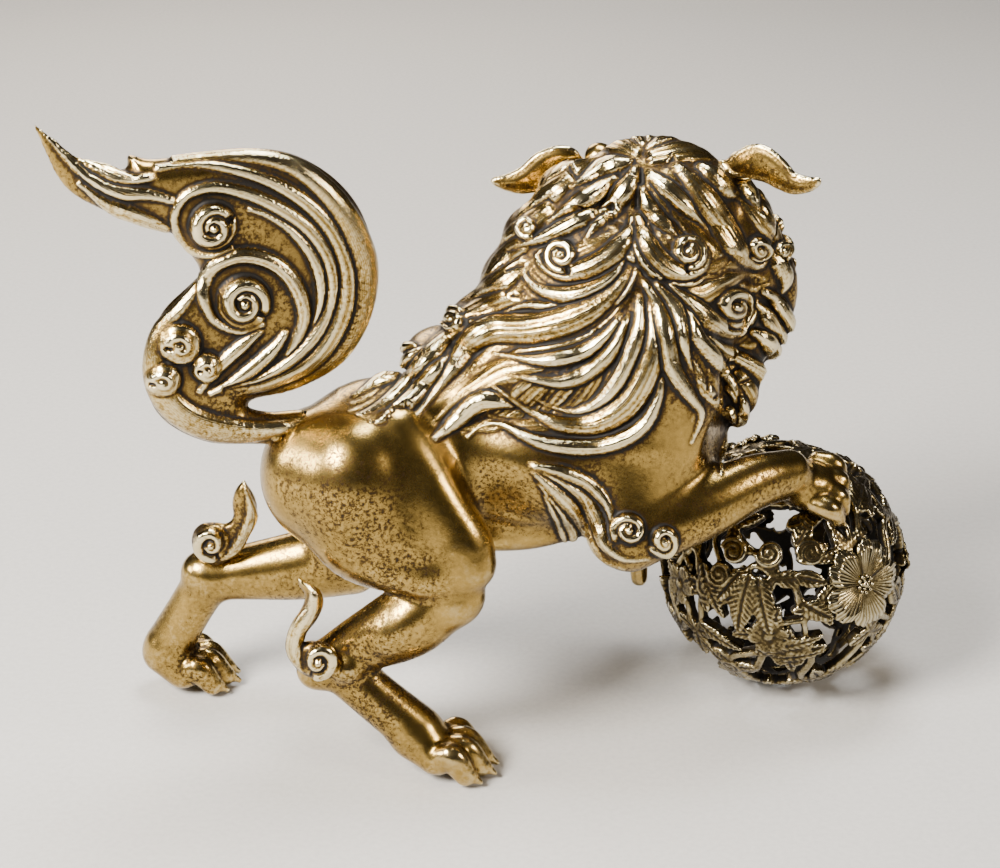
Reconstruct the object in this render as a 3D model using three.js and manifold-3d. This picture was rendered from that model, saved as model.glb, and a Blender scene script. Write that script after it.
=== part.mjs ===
// A hollow-cast gilt bronze foo dog whose forepaws rest on a pierced flower ball.
// Millimetres, +Z up. +X runs from the rump to the ball, -Y is the animal's right side.
import * as THREE from "three";
import { mergeVertices } from "three/addons/utils/BufferGeometryUtils.js";
import Module from "manifold-3d";

const wasm = await Module();
wasm.setup();

// ---------------------------------------------------------------- driving dimensions
const WALL = 3.5; // wall of the hollow torso
const GAP = 0.3; // clearance between two castings that meet face to face
const BODY_TURN = THREE.MathUtils.degToRad(13); // how far the spine turns towards +Y
const HEAD_TURN = THREE.MathUtils.degToRad(72); // direction the face looks in, from +X towards +Y

const BALL = { centre: [118, 20, 52.6], radius: 53, wall: 3.2 };
const BALL_WINDOWS = [
  { latitude: 18, count: 8, radius: 7.5 },
  { latitude: 50, count: 5, radius: 7 },
]; // rows of openings, repeated above and below the middle of the ball
const BLOSSOM = { petals: 5, radius: 16, thickness: 3, stem: 2.4, heart: 5.5 };
const BLOSSOM_PLACES = [
  [29, -42, 12],
  [-15, 30, 40],
  [50, 14, -6],
  [-12, 50, 0],
  [32, 42, -10],
]; // directions from the ball's centre
const HEAD_CENTRE = [66, 17, 194];
const CORE_OPENING = { centre: [-4, -16], length: 46, width: 26 }; // oval hole in the belly

const BRONZE = { color: 0xb08d4a, roughness: 0.32, metalness: 1 };
const BALL_BRONZE = { color: 0x8d7a48, roughness: 0.42, metalness: 1 };
const DARK_INLAY = { color: 0x17130f, roughness: 0.2, metalness: 0.2 };

// ---------------------------------------------------------------- geometry helpers
const v3 = (p) => new THREE.Vector3(...p);

// A three.js geometry as a solid.
function solid(geometry) {
  const bare = geometry.clone();
  bare.deleteAttribute("normal");
  bare.deleteAttribute("uv");
  const merged = mergeVertices(bare, 1e-3);
  return new wasm.Manifold(
    new wasm.Mesh({
      numProp: 3,
      vertProperties: merged.attributes.position.array,
      triVerts: new Uint32Array(merged.index.array),
    }),
  );
}

function join(parts) {
  return parts.reduce((whole, part) => whole.add(part));
}

// The largest single body of a solid: slivers that a cut leaves behind are dropped.
function largest(shape) {
  return shape.decompose().sort((a, b) => b.volume() - a.volume())[0];
}

// An ellipsoid, turned about Z, then tilted about X.
function ellipsoid(centre, radii, turn = 0, tilt = 0, sides = 16) {
  const g = new THREE.SphereGeometry(1, sides, Math.round(sides * 0.6));
  g.scale(...radii).rotateX(tilt).rotateZ(turn);
  return solid(g.translate(...centre));
}

// A closed limb along a smooth curve. Each station is [x, y, z, half width, half height];
// the width lies along `across`. Its ends are rounded. It is a sphere whose rings are moved.
function limb(stations, { across = [0, 1, 0], sides = 12, rings = 10, grow = 0 } = {}) {
  const path = new THREE.CatmullRomCurve3(stations.map((s) => v3(s.slice(0, 3))));
  const sizes = new THREE.CatmullRomCurve3(stations.map((s) => new THREE.Vector3(s[3], s[4], 0)));
  const capRings = 2;
  const all = rings + 2 * capRings;
  const g = new THREE.SphereGeometry(1, sides, all);
  const position = g.attributes.position;
  for (let ring = 0; ring <= all; ring++) {
    // The cap rings close the limb over a quarter ellipse; the others run along the curve.
    const along = THREE.MathUtils.clamp((ring - capRings) / rings, 0, 1);
    const past = ring < capRings ? ring - capRings : Math.max(0, ring - capRings - rings);
    const capAngle = (past / capRings) * (Math.PI / 2);
    const size = sizes.getPoint(along);
    const [w, h] = [size.x + grow, size.y + grow];
    const tangent = path.getTangent(along);
    const centre = path.getPoint(along);
    centre.addScaledVector(tangent, Math.sin(capAngle) * Math.min(w, h));
    const up = new THREE.Vector3().crossVectors(tangent, v3(across)).normalize();
    const side = new THREE.Vector3().crossVectors(up, tangent).normalize();
    for (let i = 0; i <= sides; i++) {
      const turn = (i / sides) * Math.PI * 2;
      const p = centre
        .clone()
        .addScaledVector(side, Math.cos(turn) * w * Math.cos(capAngle))
        .addScaledVector(up, Math.sin(turn) * h * Math.cos(capAngle));
      position.setXYZ(ring * (sides + 1) + i, p.x, p.y, p.z);
    }
  }
  const made = solid(g);
  return made.volume() > 0 ? made : solid(turnedInsideOut(g));
}

function turnedInsideOut(geometry) {
  const g = geometry.clone();
  const index = g.index.array;
  for (let i = 0; i < index.length; i += 3) [index[i], index[i + 1]] = [index[i + 1], index[i]];
  return g;
}

const GROUND = solid(new THREE.BoxGeometry(600, 600, 100).translate(0, 0, -50));

// A cylinder of a given radius from one point to another.
function rod(from, to, radius, sides = 10) {
  const axis = v3(to).sub(v3(from));
  const g = new THREE.CylinderGeometry(radius, radius, axis.length(), sides);
  const yAxis = new THREE.Vector3(0, 1, 0);
  g.applyQuaternion(new THREE.Quaternion().setFromUnitVectors(yAxis, axis.clone().normalize()));
  return solid(g.translate(...v3(from).addScaledVector(axis, 0.5).toArray()));
}

const minus = (shape, ...cutters) => cutters.reduce((left, cutter) => left.subtract(cutter), shape);

// ---------------------------------------------------------------- torso
const ACROSS_BODY = [-Math.sin(BODY_TURN), Math.cos(BODY_TURN), 0];
const BARREL = [
  [-66, -31, 121, 26, 28],
  [-48, -28, 124, 32, 34],
  [-18, -20, 126, 31, 35],
  [14, -12, 128, 33, 39],
  [42, -4, 132, 36, 41],
  [60, 4, 130, 32, 36],
];
const NECK = [
  [34, -4, 146, 34, 33],
  [52, 6, 166, 32, 31],
  [62, 14, 186, 27, 26],
];

function torso(grow = 0) {
  const barrel = limb(BARREL, { across: ACROSS_BODY, sides: 16, rings: 9, grow });
  const neck = limb(NECK, { across: ACROSS_BODY, sides: 12, rings: 4, grow });
  return barrel.add(neck);
}

// The space that the casting core left, with the oval hole in the belly it was dug out through.
function coreSpace() {
  const { centre, length, width } = CORE_OPENING;
  const barrel = limb(BARREL, { across: ACROSS_BODY, sides: 12, rings: 6, grow: -WALL });
  const neck = limb(NECK, { across: ACROSS_BODY, sides: 10, rings: 3, grow: -WALL });
  const hole = new THREE.CylinderGeometry(0.5, 0.5, 60, 16).rotateX(Math.PI / 2);
  hole.scale(length, width, 1).rotateZ(BODY_TURN).translate(...centre, 85);
  return join([barrel, neck, solid(hole)]);
}

// ---------------------------------------------------------------- legs
function foot(centre, reach, turn, grow) {
  const pad = ellipsoid(centre, [reach + grow, 13 + grow, 12 + grow], turn, 0, 9);
  const toes = [-9, -3, 3, 9].map((offset) => {
    const forward = reach * (Math.abs(offset) > 5 ? 0.72 : 0.95);
    const x = centre[0] + Math.cos(turn) * forward - Math.sin(turn) * offset;
    const y = centre[1] + Math.sin(turn) * forward + Math.cos(turn) * offset;
    return ellipsoid([x, y, 6.5], [7 + grow, 4.2 + grow, 6.8 + grow], turn, 0, 6);
  });
  const sole = new THREE.CylinderGeometry(9 + grow, 8 + grow, 6, 12).rotateX(Math.PI / 2);
  return join([pad, solid(sole.translate(centre[0], centre[1], 2)), ...toes]);
}

const HIND_LEGS = {
  right: {
    thigh: [
      [-52, -42, 122, 23, 34],
      [-40, -48, 104, 20, 32],
      [-18, -54, 86, 13, 20],
    ],
    shank: [
      [-16, -54, 83, 13, 16],
      [-36, -54, 68, 12, 17],
      [-62, -52, 50, 9, 11],
    ],
    metatarsus: [
      [-66, -52, 45, 8, 9],
      [-48, -55, 29, 8, 9],
      [-28, -58, 15, 10, 10],
    ],
    foot: { centre: [-24, -59, 11], reach: 17, turn: -0.1 },
    across: ACROSS_BODY,
  },
  left: {
    thigh: [
      [-52, -10, 112, 24, 30],
      [-60, -1, 88, 18, 21],
      [-66, 5, 66, 13, 14],
    ],
    shank: [
      [-64, 5, 64, 12, 13],
      [-92, 5, 59, 10, 11],
      [-120, 5, 56, 8, 8],
    ],
    metatarsus: [
      [-121, 5, 56, 8, 8],
      [-131, 6, 36, 8, 8],
      [-141, 8, 17, 9, 9],
    ],
    foot: { centre: [-134, 9, 11], reach: 16, turn: 0.1 },
    across: [1, 0, 0],
  },
};

function hindLeg(side, grow = 0) {
  const leg = HIND_LEGS[side];
  const { centre, reach, turn } = leg.foot;
  return join([
    limb(leg.thigh, { across: leg.across, rings: 4, sides: 10, grow }),
    limb(leg.shank, { rings: 3, sides: 8, grow }),
    limb(leg.metatarsus, { rings: 3, sides: 8, grow }),
    foot(centre, reach, turn, grow),
  ]);
}

const FORELEGS = {
  right: {
    arm: [
      [54, -26, 134, 15, 28],
      [52, -36, 116, 14, 24],
      [46, -43, 100, 12, 15],
    ],
    forearm: [
      [50, -44, 97, 12, 15],
      [77, -38, 107, 11, 14],
      [98, -26, 112, 10, 11],
      [114, -15, 110, 9, 8],
    ],
    paw: [124.8, -5.3, 98.6],
    spread: [0.3, 0.95, 0.2],
    reach: [0.9, -0.3, -0.35],
    clawLength: 8,
    clawHeight: 5,
  },
  left: {
    arm: [
      [50, 26, 130, 14, 26],
      [52, 33, 112, 13, 22],
      [52, 38, 96, 12, 14],
    ],
    forearm: [
      [51, 38, 93, 11, 12],
      [52, 40, 80, 10, 11],
      [55, 40, 66, 9, 9],
      [56, 40, 60, 8, 8],
    ],
    paw: [64, 38, 56],
    spread: [0.3, 0.95, 0],
    reach: [-0.1, 0.1, -1],
    clawLength: 16,
    clawHeight: 10,
  },
};

// A foreleg whose palm and toes lie on the ball.
function foreleg(side, grow = 0) {
  const { arm, forearm, paw, spread, reach, clawLength, clawHeight } = FORELEGS[side];
  const onBall = (point, height) =>
    v3(point).sub(v3(BALL.centre)).setLength(BALL.radius + height).add(v3(BALL.centre));
  const toes = [-9, -3, 3, 9].map((offset) => {
    const knuckle = v3(paw).addScaledVector(v3(spread), offset).addScaledVector(v3(reach), 6);
    const tip = knuckle.clone().addScaledVector(v3(reach), clawLength);
    const stations = [
      [...onBall(knuckle.toArray(), 7).toArray(), 4.4, 4.4],
      [...onBall(tip.toArray(), clawHeight).toArray(), 3, 3],
    ];
    return limb(stations, { across: spread, rings: 1, sides: 5, grow });
  });
  const palm = ellipsoid(onBall(paw, 7).toArray(), Array(3).fill(11 + grow), 0, 0, 8);
  return join([
    limb(arm, { rings: 3, sides: 8, grow }),
    limb(forearm, { rings: 4, sides: 8, grow }),
    palm,
    ...toes,
  ]);
}

// ---------------------------------------------------------------- head
// The head's pieces are built looking along +X, then turned about Z and set on the neck.
function placedOnNeck(shape) {
  return shape.rotate([0, 0, THREE.MathUtils.radToDeg(HEAD_TURN)]).translate(HEAD_CENTRE);
}

function headShape(grow = 0) {
  const lump = (centre, radii, sides) => ellipsoid(centre, radii.map((r) => r + grow), 0, 0, sides);
  return join([
    lump([2, 0, 4], [31, 33, 36], 13),
    lump([30, 0, 2], [20, 22, 12], 10),
    lump([27, 13, 17], [10, 13, 7], 8),
    lump([27, -13, 17], [10, 13, 7], 8),
    lump([49, 0, 6], [6, 9, 6], 8),
    limb(
      [
        [8, -32, 6, 5, 7],
        [14, -27, -16, 5, 7],
        [16, -14, -26, 5, 6],
        [16, 14, -26, 5, 6],
        [14, 27, -16, 5, 7],
        [8, 32, 6, 5, 7],
      ],
      { across: [1, 0, 0], rings: 7, sides: 6, grow },
    ),
  ]);
}

// The open mouth: the lower jaw hangs below the muzzle, with a tongue between.
function lowerJaw(grow = 0) {
  return ellipsoid([30, 0, -20], [17 + grow, 15 + grow, 6 + grow], 0, 0, 9);
}

function tongue(grow = 0) {
  return limb(
    [
      [22, 0, -13, 7, 2.4],
      [36, 0, -12, 7, 2.4],
      [45, 0, -13, 5, 2.2],
    ],
    { rings: 2, sides: 6, grow },
  );
}

function fang(side, grow = 0) {
  return limb(
    [
      [42, side * 12, -6, 2.2, 2.2],
      [42.5, side * 12, -14, 1, 1],
    ],
    { across: [1, 0, 0], rings: 2, sides: 6, grow },
  );
}

const eye = (side, grow = 0) => ellipsoid([36, side * 12, 9], [5, 5, 5].map((r) => r + grow), 0, 0, 7);

// A drooping leaf-shaped ear with a round knob at its root.
function ear(side) {
  const leaf = limb(
    [
      [0, side * 30, 32, 4, 8],
      [-3, side * 42, 34, 3, 12],
      [-6, side * 54, 29, 2.5, 8],
      [-8, side * 62, 26, 1.6, 3],
    ],
    { across: [0, 0, 1], rings: 5, sides: 7 },
  );
  return leaf.add(ellipsoid([3, side * 30, 38], [7, 7, 6], 0, 0, 7));
}

// ---------------------------------------------------------------- mane
// A hood over the nape and the sides of the head, open towards the face, and locks that
// taper to a point on the back and shoulders.
const MANE_HOOD = [
  [34, -6, 152, 36, 50],
  [42, -2, 170, 40, 52],
  [52, 6, 190, 42, 52],
  [60, 11, 206, 37, 44],
  [64, 13, 217, 24, 34],
];
const MANE_LOCKS = [
  [[34, -32, 178, 9, 7], [10, -36, 162, 9, 6], [-14, -34, 155, 7, 5], [-36, -34, 148, 3, 3]],
  [[50, -36, 172, 9, 7], [30, -43, 152, 9, 6], [8, -43, 144, 8, 5], [-18, -43, 140, 3, 3]],
  [[62, -34, 170, 8, 7], [60, -40, 150, 8, 6], [46, -44, 138, 4, 3]],
  [[28, -6, 178, 11, 8], [0, -14, 166, 9, 6], [-26, -22, 160, 4, 4]],
  [[28, 20, 176, 11, 8], [4, 14, 164, 9, 6], [-20, 4, 158, 4, 4]],
];

// The space in front of the face, in the head's own frame, that the hair leaves free.
const faceSpace = () => solid(new THREE.BoxGeometry(200, 200, 200).translate(112, 0, 56));

function mane(grow = 0) {
  const locks = MANE_LOCKS.map((stations) => limb(stations, { sides: 6, rings: 4, grow }));
  const hood = limb(MANE_HOOD, { across: [0, 1, 0], sides: 14, rings: 6, grow });
  return minus(join([hood, ...locks]), placedOnNeck(faceSpace()));
}

// Curls below the cheeks that meet in a beard under the jaw, in the head's own frame.
function beard(grow = 0) {
  const curls = [1, -1].map((side) =>
    limb(
      [
        [16, side * 33, 0, 8, 10],
        [14, side * 38, -20, 9, 12],
        [12, side * 33, -40, 9, 11],
        [14, side * 20, -56, 8, 9],
        [16, side * 12, -68, 3, 3],
      ],
      { across: [1, 0, 0], rings: 5, sides: 6, grow },
    ),
  );
  const middle = limb(
    [
      [18, -24, -34, 8, 9],
      [26, 0, -38, 9, 10],
      [18, 24, -34, 8, 9],
    ],
    { across: [1, 0, 0], rings: 4, sides: 6, grow },
  );
  return join([...curls, middle]);
}

// ---------------------------------------------------------------- tail
// A flat leaf-shaped fan in an upright plane, on a bent root, with a flame-like tip.
const TAIL_FAN = [
  [-112, -43, 156, 9, 20],
  [-97, -40, 172, 12, 36],
  [-84, -37, 196, 13, 34],
  [-84, -37, 218, 13, 35],
  [-94, -40, 236, 9, 30],
];
const TAIL_ROOT = [
  [-74, -33, 139, 6, 6],
  [-92, -38, 141, 6, 6],
  [-112, -43, 145, 8, 8],
  [-124, -46, 158, 9, 10],
  [-120, -46, 176, 9, 10],
];
const TAIL_TIP = [
  [-100, -43, 240, 8, 12],
  [-126, -49, 242, 7, 10],
  [-148, -55, 251, 5, 6],
  [-165, -60, 268, 2, 2],
];
const TAIL_PIN = { from: [-88, -56, 141], to: [-88, -18, 141], radius: 2 };

function tail() {
  const across = ACROSS_BODY;
  return join([
    limb(TAIL_FAN, { across, rings: 7, sides: 12 }),
    limb(TAIL_ROOT, { across, rings: 7, sides: 8 }),
    limb(TAIL_TIP, { across, rings: 5, sides: 7 }),
  ]);
}

// ---------------------------------------------------------------- tufts
// A hair tuft: a tapering band that ends in a round curl.
function tuft({ band, curl, radius }) {
  return limb(band, { rings: 7, sides: 7 }).add(ellipsoid(curl, [radius, 4.2, radius], 0, 0, 10));
}

const TUFTS = {
  right_hock_tuft: {
    band: [
      [-78, -58, 92, 2.4, 2.4],
      [-73, -62, 79, 5, 4],
      [-78, -61, 66, 4.4, 3.6],
      [-76, -60, 56, 4, 3.4],
    ],
    curl: [-71, -60, 53],
    radius: 7.5,
  },
  left_hock_tuft: {
    band: [
      [-101, 0, 102, 1.6, 1.6],
      [-100, 0, 92, 4, 3.4],
      [-106, 0, 82, 4.4, 3.8],
      [-114, 0, 76, 4, 3.4],
    ],
    curl: [-117, 0, 71],
    radius: 8.5,
  },
  right_elbow_tuft: {
    band: [
      [8, -42, 126, 2.4, 2.4],
      [28, -49, 117, 5, 4],
      [38, -54, 105, 5, 3.6],
      [48, -56, 102, 4, 3.4],
    ],
    curl: [51, -57, 108],
    radius: 7.5,
  },
  left_elbow_tuft: {
    band: [
      [14, 34, 122, 2.4, 2.4],
      [28, 42, 112, 5, 4],
      [38, 47, 100, 5, 3.6],
      [46, 50, 97, 4, 3.4],
    ],
    curl: [50, 51, 102],
    radius: 7.5,
  },
};

// ---------------------------------------------------------------- ball and its blossoms
function windowDirections() {
  const directions = [];
  for (const { latitude, count, radius } of BALL_WINDOWS) {
    for (const side of [-1, 1]) {
      for (let i = 0; i < count; i++) {
        const longitude = (i / count) * Math.PI * 2;
        const tilt = THREE.MathUtils.degToRad(latitude) * side;
        const flat = Math.cos(tilt);
        directions.push({
          radius,
          direction: [Math.cos(longitude) * flat, Math.sin(longitude) * flat, Math.sin(tilt)],
        });
      }
    }
  }
  return directions;
}

function ballShape() {
  const sphere = (r) => ellipsoid(BALL.centre, [r, r, r], 0, 0, 20);
  const windows = windowDirections().map(({ direction, radius }) => {
    const at = (share) =>
      v3(direction).multiplyScalar(BALL.radius * share).add(v3(BALL.centre)).toArray();
    return rod(at(0.8), at(1.1), radius, 6);
  });
  return minus(sphere(BALL.radius), sphere(BALL.radius - BALL.wall), GROUND, ...windows);
}

// Petals around a heart, held to the ball by a riveted stem through its wall.
function blossom(direction) {
  const outline = new THREE.Shape();
  const steps = BLOSSOM.petals * 3;
  for (let i = 0; i < steps; i++) {
    const turn = (i / steps) * Math.PI * 2;
    const r = BLOSSOM.radius * (0.82 + 0.18 * Math.abs(Math.sin((turn * BLOSSOM.petals) / 2)));
    outline[i ? "lineTo" : "moveTo"](Math.cos(turn) * r, Math.sin(turn) * r);
  }
  const depth = BLOSSOM.thickness;
  const petals = new THREE.ExtrudeGeometry(outline, { depth, bevelEnabled: false });
  const heart = ellipsoid([0, 0, depth], [BLOSSOM.heart, BLOSSOM.heart, 3], 0, 0, 6);
  const made = join([solid(petals), heart]);
  return onBallSurface(made, direction, GAP);
}

const blossomStem = (direction, grow = 0) =>
  onBallSurface(rod([0, 0, -BALL.wall - 3], [0, 0, 1], BLOSSOM.stem + grow, 6), direction, GAP);

// Moves a piece built around +Z onto the ball, `lift` above its skin.
function onBallSurface(shape, direction, lift) {
  const normal = v3(direction).normalize();
  const turn = new THREE.Quaternion().setFromUnitVectors(new THREE.Vector3(0, 0, 1), normal);
  const place = v3(BALL.centre).addScaledVector(normal, BALL.radius + lift);
  const matrix = new THREE.Matrix4().compose(place, turn, new THREE.Vector3(1, 1, 1));
  return shape.transform(matrix.elements);
}

// ---------------------------------------------------------------- assembly
const statue = new THREE.Group();
statue.name = "foo_dog";

function addMesh(name, shape, finish = BRONZE) {
  const m = shape.getMesh();
  const g = new THREE.BufferGeometry();
  g.setAttribute("position", new THREE.BufferAttribute(new Float32Array(m.vertProperties), 3));
  g.setIndex(new THREE.BufferAttribute(new Uint32Array(m.triVerts), 1));
  const flat = g.toNonIndexed();
  flat.computeVertexNormals();
  const mesh = new THREE.Mesh(flat, new THREE.MeshStandardMaterial(finish));
  mesh.name = name;
  statue.add(mesh);
}

const ballKeepOut = ellipsoid(BALL.centre, Array(3).fill(BALL.radius + GAP), 0, 0, 20);
const torsoKeepOut = torso(GAP);
const headKeepOut = placedOnNeck(headShape(GAP));
const jawKeepOut = placedOnNeck(lowerJaw(GAP));

addMesh("body_casting", largest(minus(torso(), headKeepOut, coreSpace())));

const sides = { right: -1, left: 1 };
const fangs = (grow) => join([fang(1, grow), fang(-1, grow)]);
const head = minus(headShape(), lowerJaw(GAP), tongue(GAP), fangs(GAP), eye(1, GAP), eye(-1, GAP));
const face = placedOnNeck(head);
addMesh("head_casting", largest(face));
addMesh("lower_jaw", largest(placedOnNeck(minus(lowerJaw(), tongue(GAP)))));
addMesh("tongue", largest(placedOnNeck(tongue())));
for (const [side, sign] of Object.entries(sides)) {
  addMesh(`${side}_eye`, placedOnNeck(eye(sign)), DARK_INLAY);
  addMesh(`${side}_fang`, placedOnNeck(minus(fang(sign), lowerJaw(GAP))));
}

// Hair: the mane lies on the head and torso, the beard between it and the jaw, the ears on top.
const maneKeepOut = mane(GAP);
const beardKeepOut = placedOnNeck(beard(GAP));
addMesh("mane_casting", largest(minus(mane(), torsoKeepOut, headKeepOut, jawKeepOut)));
addMesh(
  "beard_casting",
  largest(minus(placedOnNeck(beard()), torsoKeepOut, headKeepOut, jawKeepOut, maneKeepOut)),
);
for (const [side, sign] of Object.entries(sides)) {
  const shape = minus(placedOnNeck(ear(sign)), headKeepOut, maneKeepOut, beardKeepOut);
  addMesh(`${side}_ear`, largest(shape));
}

// Legs, and the hair tufts that lie on them.
for (const side of Object.keys(sides)) {
  const hind = minus(hindLeg(side), torsoKeepOut, GROUND);
  addMesh(`${side}_hind_leg`, largest(hind));
  const clear = [torsoKeepOut, ballKeepOut, maneKeepOut, beardKeepOut];
  addMesh(`${side}_foreleg`, largest(minus(foreleg(side), ...clear)));
  addMesh(
    `${side}_hock_tuft`,
    largest(minus(tuft(TUFTS[`${side}_hock_tuft`]), hindLeg(side, GAP), torsoKeepOut)),
  );
  const onArm = [foreleg(side, GAP), torsoKeepOut, ballKeepOut, maneKeepOut];
  addMesh(`${side}_elbow_tuft`, largest(minus(tuft(TUFTS[`${side}_elbow_tuft`]), ...onArm)));
}

const tailPin = (grow) => rod(TAIL_PIN.from, TAIL_PIN.to, TAIL_PIN.radius + grow);
addMesh("tail_casting", largest(minus(tail(), torsoKeepOut, tailPin(GAP))));
addMesh("tail_pin", tailPin(0));

addMesh(
  "ball_casting",
  largest(minus(ballShape(), ...BLOSSOM_PLACES.map((place) => blossomStem(place, GAP)))),
  BALL_BRONZE,
);
BLOSSOM_PLACES.forEach((place, i) => {
  const made = blossom(place).add(blossomStem(place));
  addMesh(`ball_blossom_${i + 1}`, largest(minus(made, GROUND)), BALL_BRONZE);
});

// The origin is the middle of the footprint, on the surface that the statue stands on.
const box = new THREE.Box3().setFromObject(statue);
const middle = box.getCenter(new THREE.Vector3());
statue.position.set(-middle.x, -middle.y, -box.min.z);

export default statue;
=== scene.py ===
"""Foo dog statue in gilt bronze: the fine castings, their finishes, the studio and the camera."""

from math import cos, pi, radians, sin, sqrt

import bpy
import numpy as np
import openvdb
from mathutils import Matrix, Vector


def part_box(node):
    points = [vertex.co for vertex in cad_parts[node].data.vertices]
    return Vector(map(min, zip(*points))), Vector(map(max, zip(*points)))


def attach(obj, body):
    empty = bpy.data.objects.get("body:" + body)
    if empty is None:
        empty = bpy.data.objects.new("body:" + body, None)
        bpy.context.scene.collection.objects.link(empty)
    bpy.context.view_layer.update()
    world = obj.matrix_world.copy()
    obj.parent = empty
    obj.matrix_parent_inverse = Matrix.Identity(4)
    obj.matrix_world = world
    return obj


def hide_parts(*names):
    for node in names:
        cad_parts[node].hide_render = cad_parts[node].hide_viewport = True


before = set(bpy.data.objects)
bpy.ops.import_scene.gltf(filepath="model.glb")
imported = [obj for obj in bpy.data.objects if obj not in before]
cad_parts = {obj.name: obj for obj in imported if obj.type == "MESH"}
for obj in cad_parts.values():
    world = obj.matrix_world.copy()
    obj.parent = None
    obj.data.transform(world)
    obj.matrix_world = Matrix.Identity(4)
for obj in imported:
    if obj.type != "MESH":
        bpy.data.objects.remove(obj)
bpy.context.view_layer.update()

# ---------------------------------------------------------------- the sculptor's frame
# Shapes are modelled in millimetres in the sculptor's frame. SHIFT moves them onto the CAD.
MM = 0.001
BALL_CENTRE = np.array([118.0, 20.0, 52.6])
BALL_RADIUS = 53.0
ball_low, ball_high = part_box("ball_casting")
SHIFT = np.array(
    [
        (ball_low[0] + ball_high[0]) / 2 / MM - BALL_CENTRE[0],
        (ball_low[1] + ball_high[1]) / 2 / MM - BALL_CENTRE[1],
        0.0,
    ]
)
BODY_TURN = radians(13)
ACROSS_BODY = np.array([-sin(BODY_TURN), cos(BODY_TURN), 0.0])
HEAD_CENTRE = np.array([66.0, 17.0, 194.0])
HEAD_TURN = radians(72)

# The side drawing: the right side of the statue, seen a little from above, in millimetres.
DRAWING_TILT = radians(25)
DRAWING_DISTANCE = 1000.0
DRAWING_HEIGHT = 121.0
DRAWING_EYE = np.array(
    [0.0, -DRAWING_DISTANCE * cos(DRAWING_TILT), DRAWING_HEIGHT + DRAWING_DISTANCE * sin(DRAWING_TILT)]
)


def on_drawing(points):
    """Where points of the statue lie on the side drawing: millimetres right and up."""
    x, y, z = points[..., 0], points[..., 1], points[..., 2] - DRAWING_HEIGHT
    depth = y * cos(DRAWING_TILT) - z * sin(DRAWING_TILT)
    k = DRAWING_DISTANCE / (DRAWING_DISTANCE + depth)
    return x * k, (y * sin(DRAWING_TILT) + z * cos(DRAWING_TILT)) * k


def off_drawing(a, b, y):
    """The point of the statue that lies at (a, b) on the drawing and at this depth y."""
    c, s, d = cos(DRAWING_TILT), sin(DRAWING_TILT), DRAWING_DISTANCE
    z = (b * (1 + y * c / d) - y * s) / (c + b * s / d)
    x = a * (1 + (y * c - z * s) / d)
    return np.array([x, y, z + DRAWING_HEIGHT])


def smooth(edge0, edge1, x):
    """Rises from 0 to 1 between two edges."""
    t = np.clip((x - edge0) / (edge1 - edge0), 0, 1)
    return t * t * (3 - 2 * t)


def catmull(points, count):
    """Points along a smooth curve through the given ones, evenly spread by length."""
    p = np.asarray(points, float)
    p = np.vstack([2 * p[0] - p[1], p, 2 * p[-1] - p[-2]])
    t = np.linspace(0, 1, 24, endpoint=False)[:, None]
    rows = []
    for a, b, c, d in zip(p[:-3], p[1:-2], p[2:-1], p[3:]):
        bend = 2 * a - 5 * b + 4 * c - d
        rows.append(0.5 * (2 * b + (c - a) * t + bend * t**2 + (3 * b - a - 3 * c + d) * t**3))
    rows.append(p[-2][None])
    fine = np.vstack(rows)
    far = min(3, fine.shape[1])
    length = np.r_[0, np.cumsum(np.linalg.norm(np.diff(fine[:, :far], axis=0), axis=1))]
    want = np.linspace(0, length[-1], count)
    return np.stack([np.interp(want, length, fine[:, i]) for i in range(fine.shape[1])], 1)


# ---------------------------------------------------------------- clay: a distance field
class Clay:
    """A block of voxels that lumps are added to and cut from. Each voxel knows its casting."""

    def __init__(self, low, high, voxel):
        self.low, self.voxel = np.array(low, float), voxel
        self.shape = tuple(int(n) for n in np.ceil((np.array(high) - low) / voxel))
        self.field = np.full(self.shape, 20.0, np.float32)
        self.nearest = np.full(self.shape, 20.0, np.float32)
        self.owner = np.zeros(self.shape, np.int8)

    def window(self, low, high):
        """The slices of the voxels inside a box, and their points."""
        first = np.clip(np.floor((low - self.low) / self.voxel).astype(int), 0, self.shape)
        last = np.clip(np.ceil((high - self.low) / self.voxel).astype(int), 0, self.shape)
        cut = tuple(slice(a, b) for a, b in zip(first, last))
        axes = [
            (np.arange(a, b, dtype=np.float32) * self.voxel + lo).astype(np.float32)
            for a, b, lo in zip(first, last, self.low)
        ]
        x, y, z = np.meshgrid(*axes, indexing="ij", sparse=True)
        return cut, x, y, z

    def add(self, lump, owner, blend=4.0):
        """Adds a lump of a casting. blend is the width of the fillet where it joins."""
        distance, low, high = lump
        cut, x, y, z = self.window(low - 9, high + 9)
        d = distance(x, y, z).astype(np.float32)
        old = self.field[cut]
        h = np.clip(blend - np.abs(old - d), 0, None) / blend
        self.field[cut] = np.minimum(old, d) - h * h * blend / 4
        closer = d < self.nearest[cut]
        self.nearest[cut] = np.where(closer, d, self.nearest[cut])
        self.owner[cut] = np.where(closer, owner, self.owner[cut])

    def cut_away(self, lump, blend=3.0):
        distance, low, high = lump
        cut, x, y, z = self.window(low - 6, high + 6)
        d = -distance(x, y, z).astype(np.float32)
        old = self.field[cut]
        h = np.clip(blend - np.abs(old - d), 0, None) / blend
        self.field[cut] = np.maximum(old, d) + h * h * blend / 4

    def surface(self):
        """Vertices in millimetres, quads, and each vertex's casting."""
        grid = openvdb.FloatGrid(20.0)
        grid.copyFromArray(self.field)
        points, quads = grid.convertToQuads(0.0)
        places = np.clip(np.rint(points).astype(int), 0, np.array(self.shape) - 1)
        owner = self.owner[tuple(places.T)]
        return points * self.voxel + self.low, quads, owner


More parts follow.
